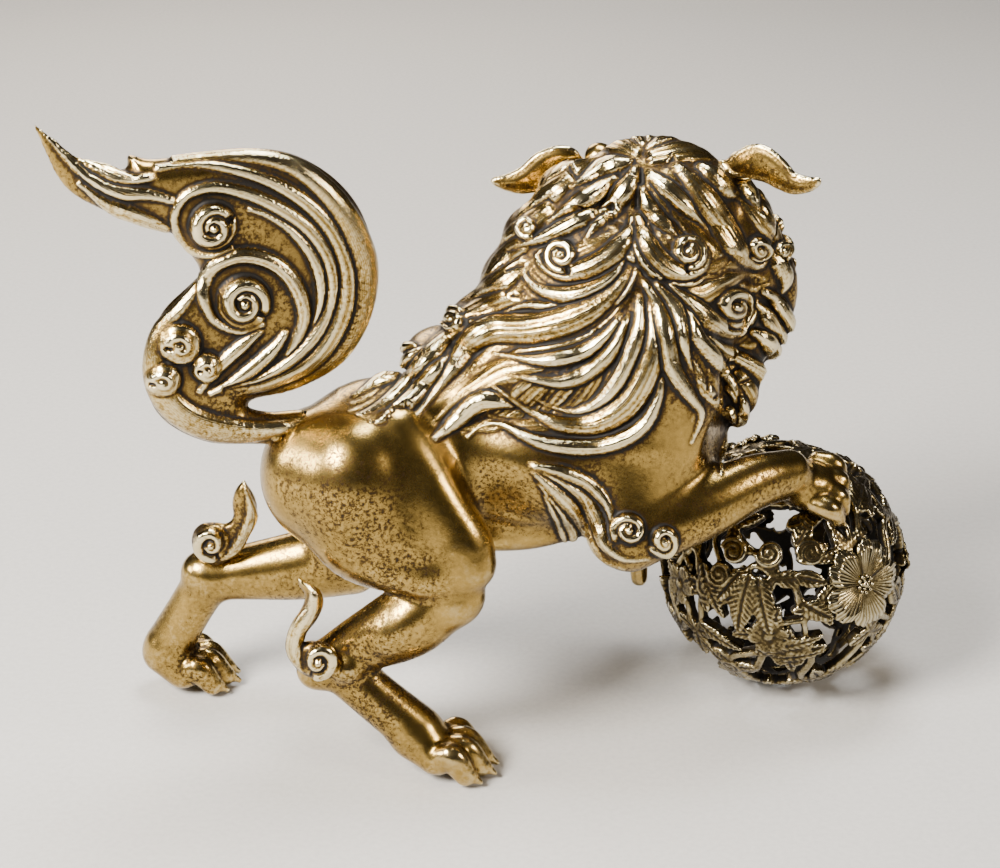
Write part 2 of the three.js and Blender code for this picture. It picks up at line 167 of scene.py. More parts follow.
def ellipsoid(centre, radii, turn=0.0, tilt=0.0):
    """An egg shape, tilted about Y and then turned about Z."""
    centre, radii = np.asarray(centre, float), np.asarray(radii, float)
    c, s, ct, st = cos(turn), sin(turn), cos(tilt), sin(tilt)

    def distance(x, y, z):
        x, y, z = x - centre[0], y - centre[1], z - centre[2]
        x, y = c * x + s * y, c * y - s * x
        x, z = ct * x + st * z, ct * z - st * x
        x, y, z = x / radii[0], y / radii[1], z / radii[2]
        k0 = np.sqrt(x * x + y * y + z * z) + 1e-6
        k1 = np.sqrt((x / radii[0]) ** 2 + (y / radii[1]) ** 2 + (z / radii[2]) ** 2) + 1e-6
        return k0 * (k0 - 1) / k1

    return distance, centre - radii.max(), centre + radii.max()


def limb(stations, across=(0.0, 1.0, 0.0), count=9):
    """A rounded limb. A station is x, y, z, half width along `across`, half height."""
    line = catmull(stations, count * 2)
    across = np.asarray(across, float)
    tangents = np.gradient(line[:, :3], axis=0)
    tangents /= np.linalg.norm(tangents, axis=1)[:, None]

    def distance(x, y, z):
        nearest = None
        for k, (a, b) in enumerate(zip(line[:-1], line[1:])):
            step = b[:3] - a[:3]
            qx, qy, qz = x - a[0], y - a[1], z - a[2]
            t = np.clip((qx * step[0] + qy * step[1] + qz * step[2]) / (step @ step), 0, 1)
            away = (qx - step[0] * t) ** 2 + (qy - step[1] * t) ** 2 + (qz - step[2] * t) ** 2
            if nearest is None:
                nearest, place = away, t.astype(np.float32)
            else:
                closer = away < nearest
                nearest = np.where(closer, away, nearest)
                place = np.where(closer, k + t, place)
        k = np.minimum(place.astype(int), len(line) - 2)
        t = (place - k)[..., None]
        here = line[k] * (1 - t) + line[k + 1] * t
        ahead = tangents[k] * (1 - t) + tangents[k + 1] * t
        ahead /= np.linalg.norm(ahead, axis=-1)[..., None]
        up = np.cross(ahead, across)
        up /= np.linalg.norm(up, axis=-1)[..., None]
        side = np.cross(up, ahead)
        q = np.stack(np.broadcast_arrays(x, y, z), -1) - here[..., :3]
        width, height = here[..., 3], here[..., 4]
        small = np.minimum(width, height)
        u, v = (q * side).sum(-1) / width, (q * up).sum(-1) / height
        w = (q * ahead).sum(-1) / small
        size = np.sqrt(u * u + v * v + w * w) + 1e-6
        grade = np.sqrt((u / width) ** 2 + (v / height) ** 2 + (w / small) ** 2) / size + 1e-6
        return np.minimum((size - 1) / grade, (size - 1) * np.maximum(width, height))

    reach = line[:, 3:5].max(1)[:, None]
    return distance, (line[:, :3] - reach).min(0), (line[:, :3] + reach).max(0)


def on_head(point):
    """A point of the head's own frame, which looks along +X, set on the neck."""
    x, y, z = point
    c, s = cos(HEAD_TURN), sin(HEAD_TURN)
    return HEAD_CENTRE + np.array([c * x - s * y, s * x + c * y, z])


def head_limb(stations, count=7):
    """A limb whose stations are in the head's own frame."""
    placed = [tuple(on_head(s[:3])) + tuple(s[3:]) for s in stations]
    return limb(placed, across=(cos(HEAD_TURN), sin(HEAD_TURN), 0.0), count=count)


# ---------------------------------------------------------------- the dog's castings
# The dog is modelled as one form, and each bit of it knows its casting by its place in this list.
# A loose part is modelled in a block of clay of its own.
CASTINGS = [
    "none",
    "body_casting",
    "mane_casting",
    "beard_casting",
    "head_casting",
    "lower_jaw",
    "right_foreleg",
    "left_foreleg",
    "right_hind_leg",
    "left_hind_leg",
    "right_elbow_tuft",
    "loose_part",
]
CODE = {name: i for i, name in enumerate(CASTINGS)}
LOOSE = CODE["loose_part"]
VOXEL = 1.1


def model_torso(clay):
    """Neck, chest, ribs, belly and rump."""
    body = CODE["body_casting"]
    spine = [
        (-68, -31, 119, 25, 27),
        (-50, -28, 122, 31, 33),
        (-24, -21, 124, 28, 31),
        (4, -14, 126, 29, 34),
        (30, -7, 130, 34, 39),
        (56, 2, 131, 33, 38),
    ]
    clay.add(limb(spine, ACROSS_BODY, 11), body)
    neck = [(34, -4, 146, 33, 33), (52, 6, 166, 31, 30), (62, 14, 186, 26, 26)]
    clay.add(limb(neck, ACROSS_BODY), body, 8)
    # chest
    clay.add(ellipsoid((68, 2, 116), (20, 27, 25)), body, 12)
    # rump
    clay.add(ellipsoid((-66, -40, 122), (22, 15, 26), BODY_TURN), body, 10)
    # ribs, then the soft trough between the ribs and the thigh
    clay.add(ellipsoid((20, -30, 124), (31, 21, 25), BODY_TURN), body, 12)
    clay.add(ellipsoid((34, 14, 124), (28, 20, 25), BODY_TURN), body, 12)
    trough = limb([(-20, -62, 142, 4, 4), (-4, -60, 122, 6, 6), (6, -54, 100, 5, 5)], (1, 0, 0))
    clay.cut_away(trough, 14)
    belly = limb([(-20, -30, 92, 10, 6), (10, -26, 92, 12, 7), (36, -20, 96, 10, 6)], ACROSS_BODY)
    clay.add(belly, body, 12)


def model_foot(clay, owner, heel, ball, toe_dir, spread):
    """A round paw with four knuckled toes. toe_dir and spread are flat directions."""
    toe_dir, spread = np.array(toe_dir, float), np.array(spread, float)
    ball = np.array(ball, float)
    clay.add(limb([(*heel, 9, 8), (*ball, 13, 9)], tuple(spread), 4), owner, 6)
    for place, reach in ((-10.5, 9), (-3.6, 14), (3.6, 14), (10.5, 9)):
        root = ball + spread * place * 0.8 + toe_dir * 2
        knuckle = ball + spread * place + toe_dir * reach * 0.75 + np.array([0, 0, 3.0])
        tip = ball + spread * place * 1.06 + toe_dir * (reach + 4)
        root[2], tip[2] = 9, 5.2
        toe = [(*root, 4.4, 5), (*knuckle, 4.6, 6), (*tip, 3.8, 4.6)]
        clay.add(limb(toe, tuple(spread), 6), owner, 1.6)
        claw = tip + toe_dir * 2.6
        claw_tip = tip + toe_dir * 6
        clay.add(limb([(*claw, 1.9, 2.2), (*claw_tip[:2], 2.6, 1.1, 1.4)], tuple(spread), 3), owner, 0.8)


def model_legs(clay):
    """Hind legs in stride, the right forepaw on the ball, the left one hanging close beside it."""
    right, left = CODE["right_hind_leg"], CODE["left_hind_leg"]
    thigh = [(-52, -41, 124, 20, 31), (-42, -46, 108, 20, 32), (-24, -52, 94, 15, 20)]
    clay.add(limb(thigh, ACROSS_BODY, 8), right, 6)
    # the haunch is one round boss, a ridge runs down its front to the knee, a fold under it
    clay.add(ellipsoid((-55, -48, 123), (21, 19, 25), BODY_TURN, 0.1), right, 8)
    ridge = [(-38, -44, 144, 6, 6), (-26, -53, 124, 7, 8), (-13, -57, 102, 8, 9), (-11, -57, 93, 9, 9)]
    clay.add(limb(ridge, ACROSS_BODY), right, 10)
    fold = [(-60, -54, 100, 6, 6), (-42, -59, 91, 7, 6), (-26, -60, 88, 7, 6), (-12, -57, 91, 8, 7)]
    clay.add(limb(fold, ACROSS_BODY), right, 7)
    shank = [(-20, -54, 78, 12, 13), (-36, -55, 66, 12, 15), (-54, -53, 55, 9.5, 12)]
    shank.append((-66, -52, 47, 8.5, 10))
    clay.add(limb(shank, count=8), right, 2)
    clay.add(ellipsoid((-17, -57, 77), (12, 10, 10), BODY_TURN, 0.6), right, 4)
    clay.add(ellipsoid((-38, -60, 67), (14, 8, 8), BODY_TURN, 0.7), right, 4)
    shin = [(-65, -52, 46, 8.5, 10), (-48, -55, 31, 9, 10), (-33, -57, 18, 10, 10.5)]
    clay.add(limb(shin, count=6), right, 4)
    clay.add(ellipsoid((-72, -52, 43), (8.5, 8, 8.5)), right, 4)
    clay.add(ellipsoid((-60, -59, 48), (7, 6, 6)), right, 3)
    model_foot(clay, right, (-34, -57, 15), (-25, -58.5, 10), (0.99, -0.1, 0), (0.1, 0.99, 0))

    thigh = [(-56, -12, 110, 22, 28), (-62, -2, 88, 17, 20), (-66, 5, 70, 12, 14)]
    clay.add(limb(thigh, (1, 0, 0), 8), left, 6)
    shank = [(-62, 4, 64, 13, 17), (-82, 5, 59, 12, 15), (-104, 5, 56, 10.5, 12), (-120, 5, 54, 9.5, 10)]
    clay.add(limb(shank, count=8), left, 5)
    shin = [(-119, 5, 55, 9, 10), (-129, 6, 38, 9, 9.5), (-138, 7, 22, 10, 10)]
    clay.add(limb(shin, count=6), left, 4)
    clay.add(ellipsoid((-124, 4, 57), (7, 7, 7)), left, 4)
    model_foot(clay, left, (-142, 7, 16), (-134, 8.5, 10), (0.99, 0.1, 0), (-0.1, 0.99, 0))

    right, left = CODE["right_foreleg"], CODE["left_foreleg"]
    clay.add(ellipsoid((56, -26, 130), (25, 20, 30), BODY_TURN, -0.2), right, 10)
    upper = [(58, -30, 124, 15, 25), (53, -38, 110, 14, 20), (48, -44, 98, 12, 14)]
    clay.add(limb(upper, ACROSS_BODY, 6), right, 8)
    forearm = [(50, -44, 97, 11.5, 13), (76, -38, 106, 10.5, 13), (98, -27, 112, 9.5, 11.5)]
    forearm.append((114, -16, 111, 9, 10))
    clay.add(limb(forearm, (0.3, 0.95, 0), 8), right, 5)
    # the right paw lies on the ball, with its toes bent over it
    palm = BALL_CENTRE + np.array([4.0, -26.0, 45.5]) / 52.6 * (BALL_RADIUS + 5)
    across_paw = np.array([0.14, 0.88, 0.46])
    clay.add(ellipsoid(palm, (12, 11.5, 9), -0.3, 0.3), right, 5)
    for offset, length in ((-10.5, 10), (-3.6, 13), (3.6, 13), (10.5, 10)):
        root = palm + across_paw * offset + np.array([4.0, 0, 1])
        bones = [root]
        for share, height in ((0.55, 8), (1.0, 4.2)):
            out = root + np.array([1.0, -0.15, -0.5]) * length * share - BALL_CENTRE
            bones.append(BALL_CENTRE + out / np.linalg.norm(out) * (BALL_RADIUS + height))
        toe = [(*bones[0], 4.2, 4.4), (*bones[1], 4.4, 4.8), (*bones[2], 3.4, 3.6)]
        clay.add(limb(toe, across_paw, 5), right, 1.2)
        claw = BALL_CENTRE + (bones[2] - BALL_CENTRE) * 0.98 + np.array([4.0, -0.4, -2.6])
        clay.add(limb([(*bones[2], 2.4, 2.4), (*claw, 1.1, 1.2)], across_paw, 3), right, 0.8)

    clay.add(ellipsoid((50, 24, 128), (24, 16, 28), BODY_TURN), left, 10)
    upper = [(50, 28, 122, 14, 22), (51, 34, 108, 12, 18), (52, 38, 96, 11, 13)]
    clay.add(limb(upper, (1, 0, 0), 6), left, 8)
    clay.add(limb([(51, 38, 93, 10, 11), (53, 40, 78, 9, 9), (56, 40, 64, 9, 9)], (1, 0, 0), 6), left, 5)
    palm = np.array([58.0, 39.0, 58.0])
    clay.add(ellipsoid(palm, (10, 12, 11)), left, 4)
    for offset in (-9, -3, 3, 9):
        base = palm + np.array([0, offset, -5])
        tip = base + np.array([1.0, offset * 0.15, -13.0])
        clay.add(limb([(*base, 4.4, 4.6), (*tip, 3.4, 3.6)], (0, 1, 0), 4), left, 1.8)


def model_head(clay):
    """The skull, the open jaws and the beard, in the head's own frame."""
    head, jaw, beard = CODE["head_casting"], CODE["lower_jaw"], CODE["beard_casting"]

    def lump(centre, radii, owner=head, blend=4.0, tilt=0.0):
        clay.add(ellipsoid(on_head(centre), radii, HEAD_TURN, tilt), owner, blend)

    lump((2, 0, 2), (30, 33, 34))
    lump((26, 0, 4), (20, 22, 13), blend=6)
    lump((38, 0, -1), (12, 19, 9), blend=5)
    # brow ridges, nose, cheek bones, lips
    for side in (-1, 1):
        lump((29, side * 12, 19), (10, 12, 6), blend=4, tilt=-0.3)
        lump((22, side * 25, 4), (10, 9, 10), blend=5)
        lump((44, side * 9, -3), (8, 9, 6), blend=3)
        lump((47, side * 5, 5), (5, 4.5, 4.5), blend=2)
        lid = [(38, side * 5, 12, 2, 2), (41, side * 12, 14.5, 2.2, 2.2), (36, side * 19, 12, 2, 2)]
        clay.add(head_limb(lid), head, 1.5)
        lid = [(38, side * 6, 6, 1.8, 1.8), (40, side * 12, 4, 2, 2), (36, side * 18, 6, 1.8, 1.8)]
        clay.add(head_limb(lid), head, 1.5)
    lump((48, 0, 7), (6, 6, 5), blend=2)
    lump((34, 0, 14), (8, 6, 7), blend=5)
    # the open mouth, then the lower jaw
    clay.cut_away(ellipsoid(on_head((40, 0, -13)), (16, 16, 5.5), HEAD_TURN), 2)
    lump((27, 0, -21), (19, 15, 7), jaw, 3)
    clay.cut_away(ellipsoid(on_head((36, 0, -15)), (11, 10, 4.5), HEAD_TURN), 2)
    for side in (-1, 1):
        curls = [
            (14, side * 33, 4, 7, 9),
            (14, side * 38, -16, 9, 12),
            (12, side * 34, -36, 9, 11),
            (14, side * 22, -54, 8, 9),
            (16, side * 12, -64, 3, 3),
        ]
        clay.add(head_limb(curls, 9), beard, 4)
    clay.add(head_limb([(18, -24, -34, 8, 9), (25, 0, -38, 9, 10), (18, 24, -34, 8, 9)]), beard, 4)


def model_mane(clay):
    """The mane's mass, from the crown down over the neck and the shoulders to the back."""
    mane = CODE["mane_casting"]
    hood = [
        (32, -6, 150, 34, 50),
        (40, -2, 168, 39, 50),
        (51, 5, 188, 40, 48),
        (59, 10, 203, 35, 41),
        (62, 12, 214, 26, 33),
    ]
    clay.add(limb(hood, (0, 1, 0), 10), mane, 5)
    # the hair swells at its outer edge, where each bunch turns over
    for centre, radii in (
        ((14, -2, 206), (13, 15, 12)),
        ((6, -6, 190), (13, 17, 11)),
        ((-6, -10, 174), (14, 18, 10)),
        ((-22, -14, 162), (15, 20, 9)),
        ((28, 4, 222), (14, 16, 11)),
        ((95, 12, 206), (12, 13, 15)),
        ((100, 14, 184), (10, 12, 14)),
        ((98, 10, 160), (10, 12, 14)),
        ((93, 2, 141), (10, 12, 14)),
    ):
        clay.add(ellipsoid(centre, radii), mane, 6)
    front = [(60, -30, 176, 20, 12), (58, -34, 156, 26, 11), (54, -36, 138, 22, 8)]
    clay.add(limb(front, (1, 0, 0), 7), mane, 8)
    back = [(20, -24, 166, 18, 14), (-6, -26, 156, 16, 10), (-34, -30, 148, 8, 5)]
    clay.add(limb(back, ACROSS_BODY, 7), mane, 8)


# ---------------------------------------------------------------- hair, drawn flat
class Relief:
    """Raised hair, drawn on a flat sheet in the millimetres of a view of the statue."""

    def __init__(self, low, high, cell=0.3):
        self.low, self.cell = np.array(low, float), cell
        shape = tuple(int(n) for n in np.ceil((np.array(high) - low) / cell))
        self.height = np.zeros(shape, np.float32)
        self.strand = np.zeros(shape, np.float32)
        self.owner = np.zeros(shape, np.int8)

    def cells(self, a, b):
        i = np.rint((a - self.low[0]) / self.cell).astype(int)
        j = np.rint((b - self.low[1]) / self.cell).astype(int)
        ok = (i >= 0) & (j >= 0) & (i < self.height.shape[0]) & (j < self.height.shape[1])
        return i, j, ok

    def lock(self, points, width, owner, lift=0.3, bulge=3.6, ribs=4, rise=0.0, root=0.35, tip=0.12):
        """One bunch of hair: swells from its root, runs out in a point, ribbed along its length."""
        length = np.linalg.norm(np.diff(catmull(points, 60), axis=0), axis=1).sum()
        n = max(8, int(length / 0.2))
        line = catmull(points, n)
        ahead = np.gradient(line, axis=0)
        ahead /= np.linalg.norm(ahead, axis=1)[:, None] + 1e-9
        side = np.stack([-ahead[:, 1], ahead[:, 0]], 1)
        s = np.linspace(0, 1, n)[:, None]
        swell = (root + (1 - root) * smooth(0, 0.35, s)) * (tip + (1 - tip) * (1 - smooth(0.5, 1.0, s)))
        t = np.linspace(-1, 1, max(5, int(width / 0.16)))[None]
        half = width / 2 * swell
        at = line[:, None] + side[:, None] * (half * t)[..., None]
        dome = np.clip(1 - t * t, 0, 1) ** 0.7
        body = (lift + bulge * swell**0.8 * dome) * smooth(0, 0.08, s) + rise * s
        if ribs > 1:
            valley = 1 - np.abs(np.sin((t + 1) / 2 * ribs * pi + 0.35 * np.sin(s * 6))) ** 0.55
            body = body - 0.62 * valley * (0.3 + 0.7 * dome) * swell**0.5
        i, j, ok = self.cells(at[..., 0], at[..., 1])
        i, j = i[ok], j[ok]
        self.height[i, j] = body[ok]
        self.strand[i, j] = np.broadcast_to(t * width / 2, body.shape)[ok]
        self.owner[i, j] = owner

    def volute(self, centre, radius, owner, start, way=1, turns=1.5, lift=0.9, bulge=2.4):
        """A spiral curl that winds in to a round button. start is in degrees."""
        s = np.linspace(0, 1, 26)
        angle = radians(start) + way * s * turns * 2 * pi
        r = radius * (0.84 - 0.64 * s)
        points = np.stack([centre[0] + np.cos(angle) * r, centre[1] + np.sin(angle) * r], 1)
        self.lock(points, radius * 0.5, owner, lift, bulge, 2, rise=1.0, root=0.8, tip=0.75)
        self.bead(centre, radius * 0.24, owner, lift + bulge + 1.2)

    def bead(self, centre, radius, owner, height):
        """A round button."""
        reach = np.arange(-radius, radius + 0.1, 0.15)
        a, b = np.meshgrid(reach, reach, indexing="ij")
        r = np.sqrt(a * a + b * b) / radius
        inside = r <= 1
        i, j, ok = self.cells(a[inside] + centre[0], b[inside] + centre[1])
        self.height[i[ok], j[ok]] = (height * np.sqrt(1 - r[inside] ** 2 * 0.8))[ok]
        self.strand[i[ok], j[ok]] = 0
        self.owner[i[ok], j[ok]] = owner

    def between(self, bunches, owner):
        """Low locks that fill the room between each bunch and the next."""
        for (wide, _, first), (_, _, second) in zip(bunches[:-1], bunches[1:]):
            p, q = catmull(first, 9), catmull(second, 9)
            for share in (0.33, 0.67):
                self.lock(p * (1 - share) + q * share, wide, owner, lift=0.1, bulge=1.2, ribs=3)

    def sample(self, sheet, a, b):
        """The values of one of the sheets at these places, nothing outside it."""
        i, j, ok = self.cells(a, b)
        return np.where(ok, sheet[np.where(ok, i, 0), np.where(ok, j, 0)], 0)

    def blurred(self, sheet, cells, passes=2):
        """The mean of a sheet over a square this many cells each way."""
        for _ in range(passes):
            for axis in (0, 1):
                margins = [(0, 0), (0, 0)]
                margins[axis] = (cells + 1, cells)
                total = np.cumsum(np.pad(sheet, margins), axis)
                n = 2 * cells + 1
                high = np.take(total, range(n, total.shape[axis]), axis)
                low = np.take(total, range(0, total.shape[axis] - n), axis)
                sheet = ((high - low) / n).astype(np.float32)
        return sheet


# Bunches of hair over the nape and the back, from the top down: widest width in
# millimetres, ribs, then points right and up on the side drawing, from root to tip.
NAPE_HAIR = [
    (8, 3, [(54.4, 108.6), (45.8, 107.2), (38.1, 103.8), (30.4, 99.5), (28, 98.1)]),
    (8, 3, [(48.6, 103.4), (40, 97.6), (30.4, 91.8), (20.8, 85.6), (18.9, 84.2)]),
    (8.5, 4, [(54.9, 108.2), (52, 100.5), (45.8, 91.8), (39, 84.2), (33.8, 77)]),
    (6.5, 3, [(45.8, 89.9), (32.3, 85.1), (20.8, 79.4), (9.3, 75.5), (3.5, 72.6)]),
    (8, 4, [(54.4, 67.8), (49.6, 58.2), (38.1, 51.5), (23.7, 50.1), (11.2, 51.5), (1.6, 48.6)]),
    (9, 4, [(53.9, 76.5), (50.6, 66.9), (41, 59.2), (28.5, 55.4), (17, 57.3), (10.2, 63), (11.2, 68.8)]),
    (9.5, 5, [(53.4, 89.9), (52.5, 81.3), (45.8, 72.6), (36.2, 66.4), (25.6, 64), (17.4, 66.9),
              (15, 71.7), (18.9, 74.6)]),
    (7, 3, [(49.9, 49), (42.1, 39.2), (31.2, 32.3), (16.4, 29.3), (4.6, 30.8), (-3.3, 32.3)]),
    (13, 5, [(52.4, 68.8), (48, 59.9), (38.1, 51), (25.3, 45.1), (11.5, 42.1), (-2.3, 41.6),
             (-11.2, 37.2), (-19.1, 26.3), (-26, 16.5), (-33.9, 6.6)]),
    (7.5, 3, [(64.7, 26.3), (63.3, 14.5), (57.3, 3.7), (47, -2.8), (33.2, -5.2), (19.4, -4.2),
              (8.5, -0.3), (0.6, 3.7), (-7.3, 3.2), (-13.2, -1.3)]),
    (7.5, 4, [(51.9, 49), (46, 35.2), (37.1, 26.3), (25.3, 21.4), (13.4, 21.9), (3.1, 23.4)]),
    (8.5, 4, [(55.9, 56.9), (55.4, 42.1), (50.4, 26.3), (41.1, 13.5), (30.2, 9.1), (20.3, 11.1),
              (15.4, 13.5)]),
    (8, 4, [(8, 11.5), (-2.3, 13.5), (-9.3, 12.5), (-16.2, 6.6), (-24.1, -0.3), (-31, -6.2)]),
    (11, 5, [(59.8, 58.9), (62.3, 42.1), (59.3, 26.3), (51.4, 12.5), (39.1, 4.6), (25.3, 3.7),
             (13.4, 8.6), (4.6, 14), (-2.8, 18.9)]),
]
# Bunches over the cheek and the chest, from the top down.
CHEST_HAIR = [
    (5.5, 2, [(93.8, 103.4), (99.5, 96.6), (103.4, 89.9), (105.3, 88)]),
    (7, 3, [(78.4, 108.2), (85.1, 102.4), (90.9, 96.2), (94.2, 95.7), (93.8, 98.6)]),
    (8, 3, [(58.2, 105.8), (65, 99.5), (73.6, 91.8), (81.3, 83.2), (84.2, 78.4)]),
    (7.5, 4, [(56.3, 99.5), (60.2, 89.9), (65.9, 83.2), (73.1, 76)]),
    (6, 2, [(53.4, 83.2), (56.3, 71.7), (65, 63), (76.5, 60.2), (83.2, 64)]),
    (11, 5, [(67.8, 109.1), (76.5, 100.5), (85.1, 89), (91.8, 78.4), (97.6, 70.2), (103.8, 67.8),
             (107.2, 72.2), (106.2, 77.4)]),
    (9, 4, [(54.4, 89.9), (57.3, 78.4), (64, 68.8), (71.7, 64.5), (79.8, 66.4), (82.7, 72.2), (78.4, 76.5)]),
    (6, 2, [(89.4, 20.4), (96.3, 12.5), (94.3, 2.7), (89.4, -7.2), (88.4, -16.1)]),
    (7, 3, [(77.6, 42.1), (86.5, 35.2), (96.3, 30.3), (104.2, 24.4), (106.2, 17.5), (103.2, 8.6),
            (97.3, 1.7)]),
    (8.5, 4, [(64.3, 61.4), (76.6, 51.5), (85.5, 44.1), (94.3, 42.6), (100.3, 47.6), (99.8, 55),
              (93.4, 58.4)]),
    (6.5, 3, [(65.7, 59.9), (73.6, 47.1), (79.5, 37.2), (87.4, 27.3), (93.9, 18.5), (94.8, 11.5),
              (91.9, 8.1)]),
    (7, 3, [(61.3, 61.9), (69.7, 50), (72.6, 38.2), (75.6, 28.3), (78.1, 22.4)]),
    (8, 4, [(56.4, 62.9), (62.3, 53), (66.2, 40.2), (68.7, 27.3), (75.1, 16.5), (80.5, 7.6), (76.6, -3.7)]),
]
CHEEK_HAIR = [
    (7, 3, [(106, 74), (111, 69), (114, 61), (111, 54)]),
    (7, 3, [(104, 58), (110, 54), (114, 46), (115, 38), (112, 33)]),
    (7, 3, [(101, 54), (107, 47), (111, 40), (112, 34), (108, 30)]),
    (7, 3, [(99, 42), (106, 38), (110, 31), (110, 24), (106, 19)]),
]
BACK_HAIR = [
    (6, 2, [(-32, 35), (-40, 34), (-46, 30), (-48, 34), (-45, 36)]),
    (8, 3, [(-24, 36), (-33, 30), (-41, 25), (-50, 20), (-59, 15)]),
    (8, 4, [(-12, 44), (-22, 37), (-30, 28), (-38, 18), (-50, 10), (-61, 6)]),
    (7, 3, [(-16, 33), (-26, 25), (-34, 15), (-46, 6), (-56, 2)]),
]
ELBOW_HAIR = [
    (5, 2, [(17.6, -23.2), (23.4, -32.9), (25.3, -40.6), (28.2, -46.4)]),
    (6, 2, [(14.7, -18.4), (24.3, -28), (28.2, -36.8), (30.2, -44.5), (36, -51.3)]),
    (6.5, 3, [(11.8, -13.5), (21.4, -22.2), (30.2, -31), (36, -40.6), (40.8, -50.3), (50, -54.2)]),
    (6.5, 3, [(10.8, -12.5), (22, -16.4), (32.1, -23), (38.5, -33), (42, -44), (50, -50), (60, -50)]),
    (6, 3, [(10.8, -12), (24.3, -15), (36, -20.3), (43, -28), (45, -36.8), (44.5, -44)]),
]
# Flatter hair under the rest, on the crown, the crest of the neck and the temples: width, points.
UNDER_HAIR = [
    (9, [(57, 111), (60, 118), (63, 122)]),
    (9, [(57, 111), (53, 118), (49, 122)]),
    (9, [(58, 111), (67, 117), (76, 120), (86, 119)]),
    (9, [(57, 111), (46, 116), (36, 117), (26, 112)]),
    (9, [(58, 110), (72, 113), (84, 112), (94, 108)]),
    (9, [(44, 110), (32, 108), (22, 102), (14, 95)]),
    (9, [(30, 104), (20, 96), (10, 88), (4, 80)]),
    (9, [(22, 92), (12, 84), (2, 76), (-3, 68)]),
    (9, [(14, 80), (4, 72), (-4, 63), (-12, 57)]),
    (9, [(12, 70), (2, 62), (-8, 56), (-20, 53)]),
    (9, [(10, 56), (0, 53), (-12, 48), (-26, 42)]),
    (9, [(20, 46), (4, 44), (-10, 42), (-24, 38), (-36, 30)]),
    (9, [(90, 108), (98, 100), (104, 92), (108, 84)]),
    (9, [(96, 98), (104, 88), (110, 78), (114, 68)]),
    (9, [(80, 90), (88, 80), (94, 70), (102, 62)]),
    (9, [(74, 82), (82, 74), (90, 64), (100, 58), (108, 60)]),
    (9, [(66, 64), (78, 56), (88, 60), (98, 64), (106, 62)]),
    (9, [(72, 54), (82, 44), (94, 38), (104, 38)]),
    (9, [(74, 46), (84, 34), (96, 26), (104, 22)]),
    (8, [(72, 36), (78, 24), (86, 14), (92, 2)]),
]
# Spiral curls: centre, outer radius, where the hair arrives (degrees), way round.
CURLS = [
    ((25.1, 71), 7.5, -60, -1),
    ((74.6, 72.4), 7.6, -100, 1),
    ((92.9, 51), 8.6, -120, 1),
    ((102.6, 74.5), 5.4, -150, 1),
    ((-18.1, 45.2), 5.5, 30, 1),
    ((11.2, 82), 4.6, -40, -1),
    ((112, 73), 4.2, -90, 1),
]


def draw_hair():
    """All hair on the dog but the face's and the loose parts', the later over the earlier."""
    sheet = Relief((-75, -60), (125, 120))
    mane, beard, elbow = CODE["mane_casting"], CODE["beard_casting"], CODE["right_elbow_tuft"]
    for wide, points in UNDER_HAIR:
        sheet.lock(points, wide, mane, lift=0.1, bulge=1.6, ribs=3, root=0.7)
    for bunches in (BACK_HAIR, NAPE_HAIR, CHEST_HAIR):
        sheet.between(bunches, mane)
    # the parting is a groove down the nape
    sheet.lock([(57, 108), (56, 90), (57, 70), (59, 56)], 5, mane, lift=-0.6, bulge=-1.2, ribs=1)
    for wide, ribs, points in BACK_HAIR + NAPE_HAIR + CHEST_HAIR:
        sheet.lock(points, wide, mane, ribs=ribs)
    for wide, ribs, points in CHEEK_HAIR:
        sheet.lock(points, wide, beard, ribs=ribs)
    for centre, radius, start, way in CURLS:
        sheet.volute(centre, radius, mane, start, way)
    sheet.bead((91.7, 8.4), 3.0, mane, 4.2)
    for wide, ribs, points in ELBOW_HAIR:
        sheet.lock(points, wide, elbow, ribs=ribs, bulge=2.2)
    sheet.volute((51.5, -38.3), 7.4, elbow, 230, -1)
    sheet.volute((65, -42.2), 6.6, elbow, 200, 1)
    return sheet


def on_face(points):
    """The head seen from in front: millimetres to the dog's left and up."""
    local = points - HEAD_CENTRE
    across = local[..., 1] * cos(HEAD_TURN) - local[..., 0] * sin(HEAD_TURN)
    return across, local[..., 2]


# The beard's bunches on the dog's left, seen from in front: width, points to its left and up.
BEARD_HAIR = [
    (9, [(27, 6), (34, -4), (38, -16), (35, -28), (29, -30)]),
    (9, [(24, -14), (30, -26), (32, -38), (27, -49), (20, -48)]),
    (9, [(18, -28), (21, -42), (19, -56), (12, -64), (8, -58)]),
    (7, [(8, -30), (10, -42), (7, -54), (2, -62)]),
]


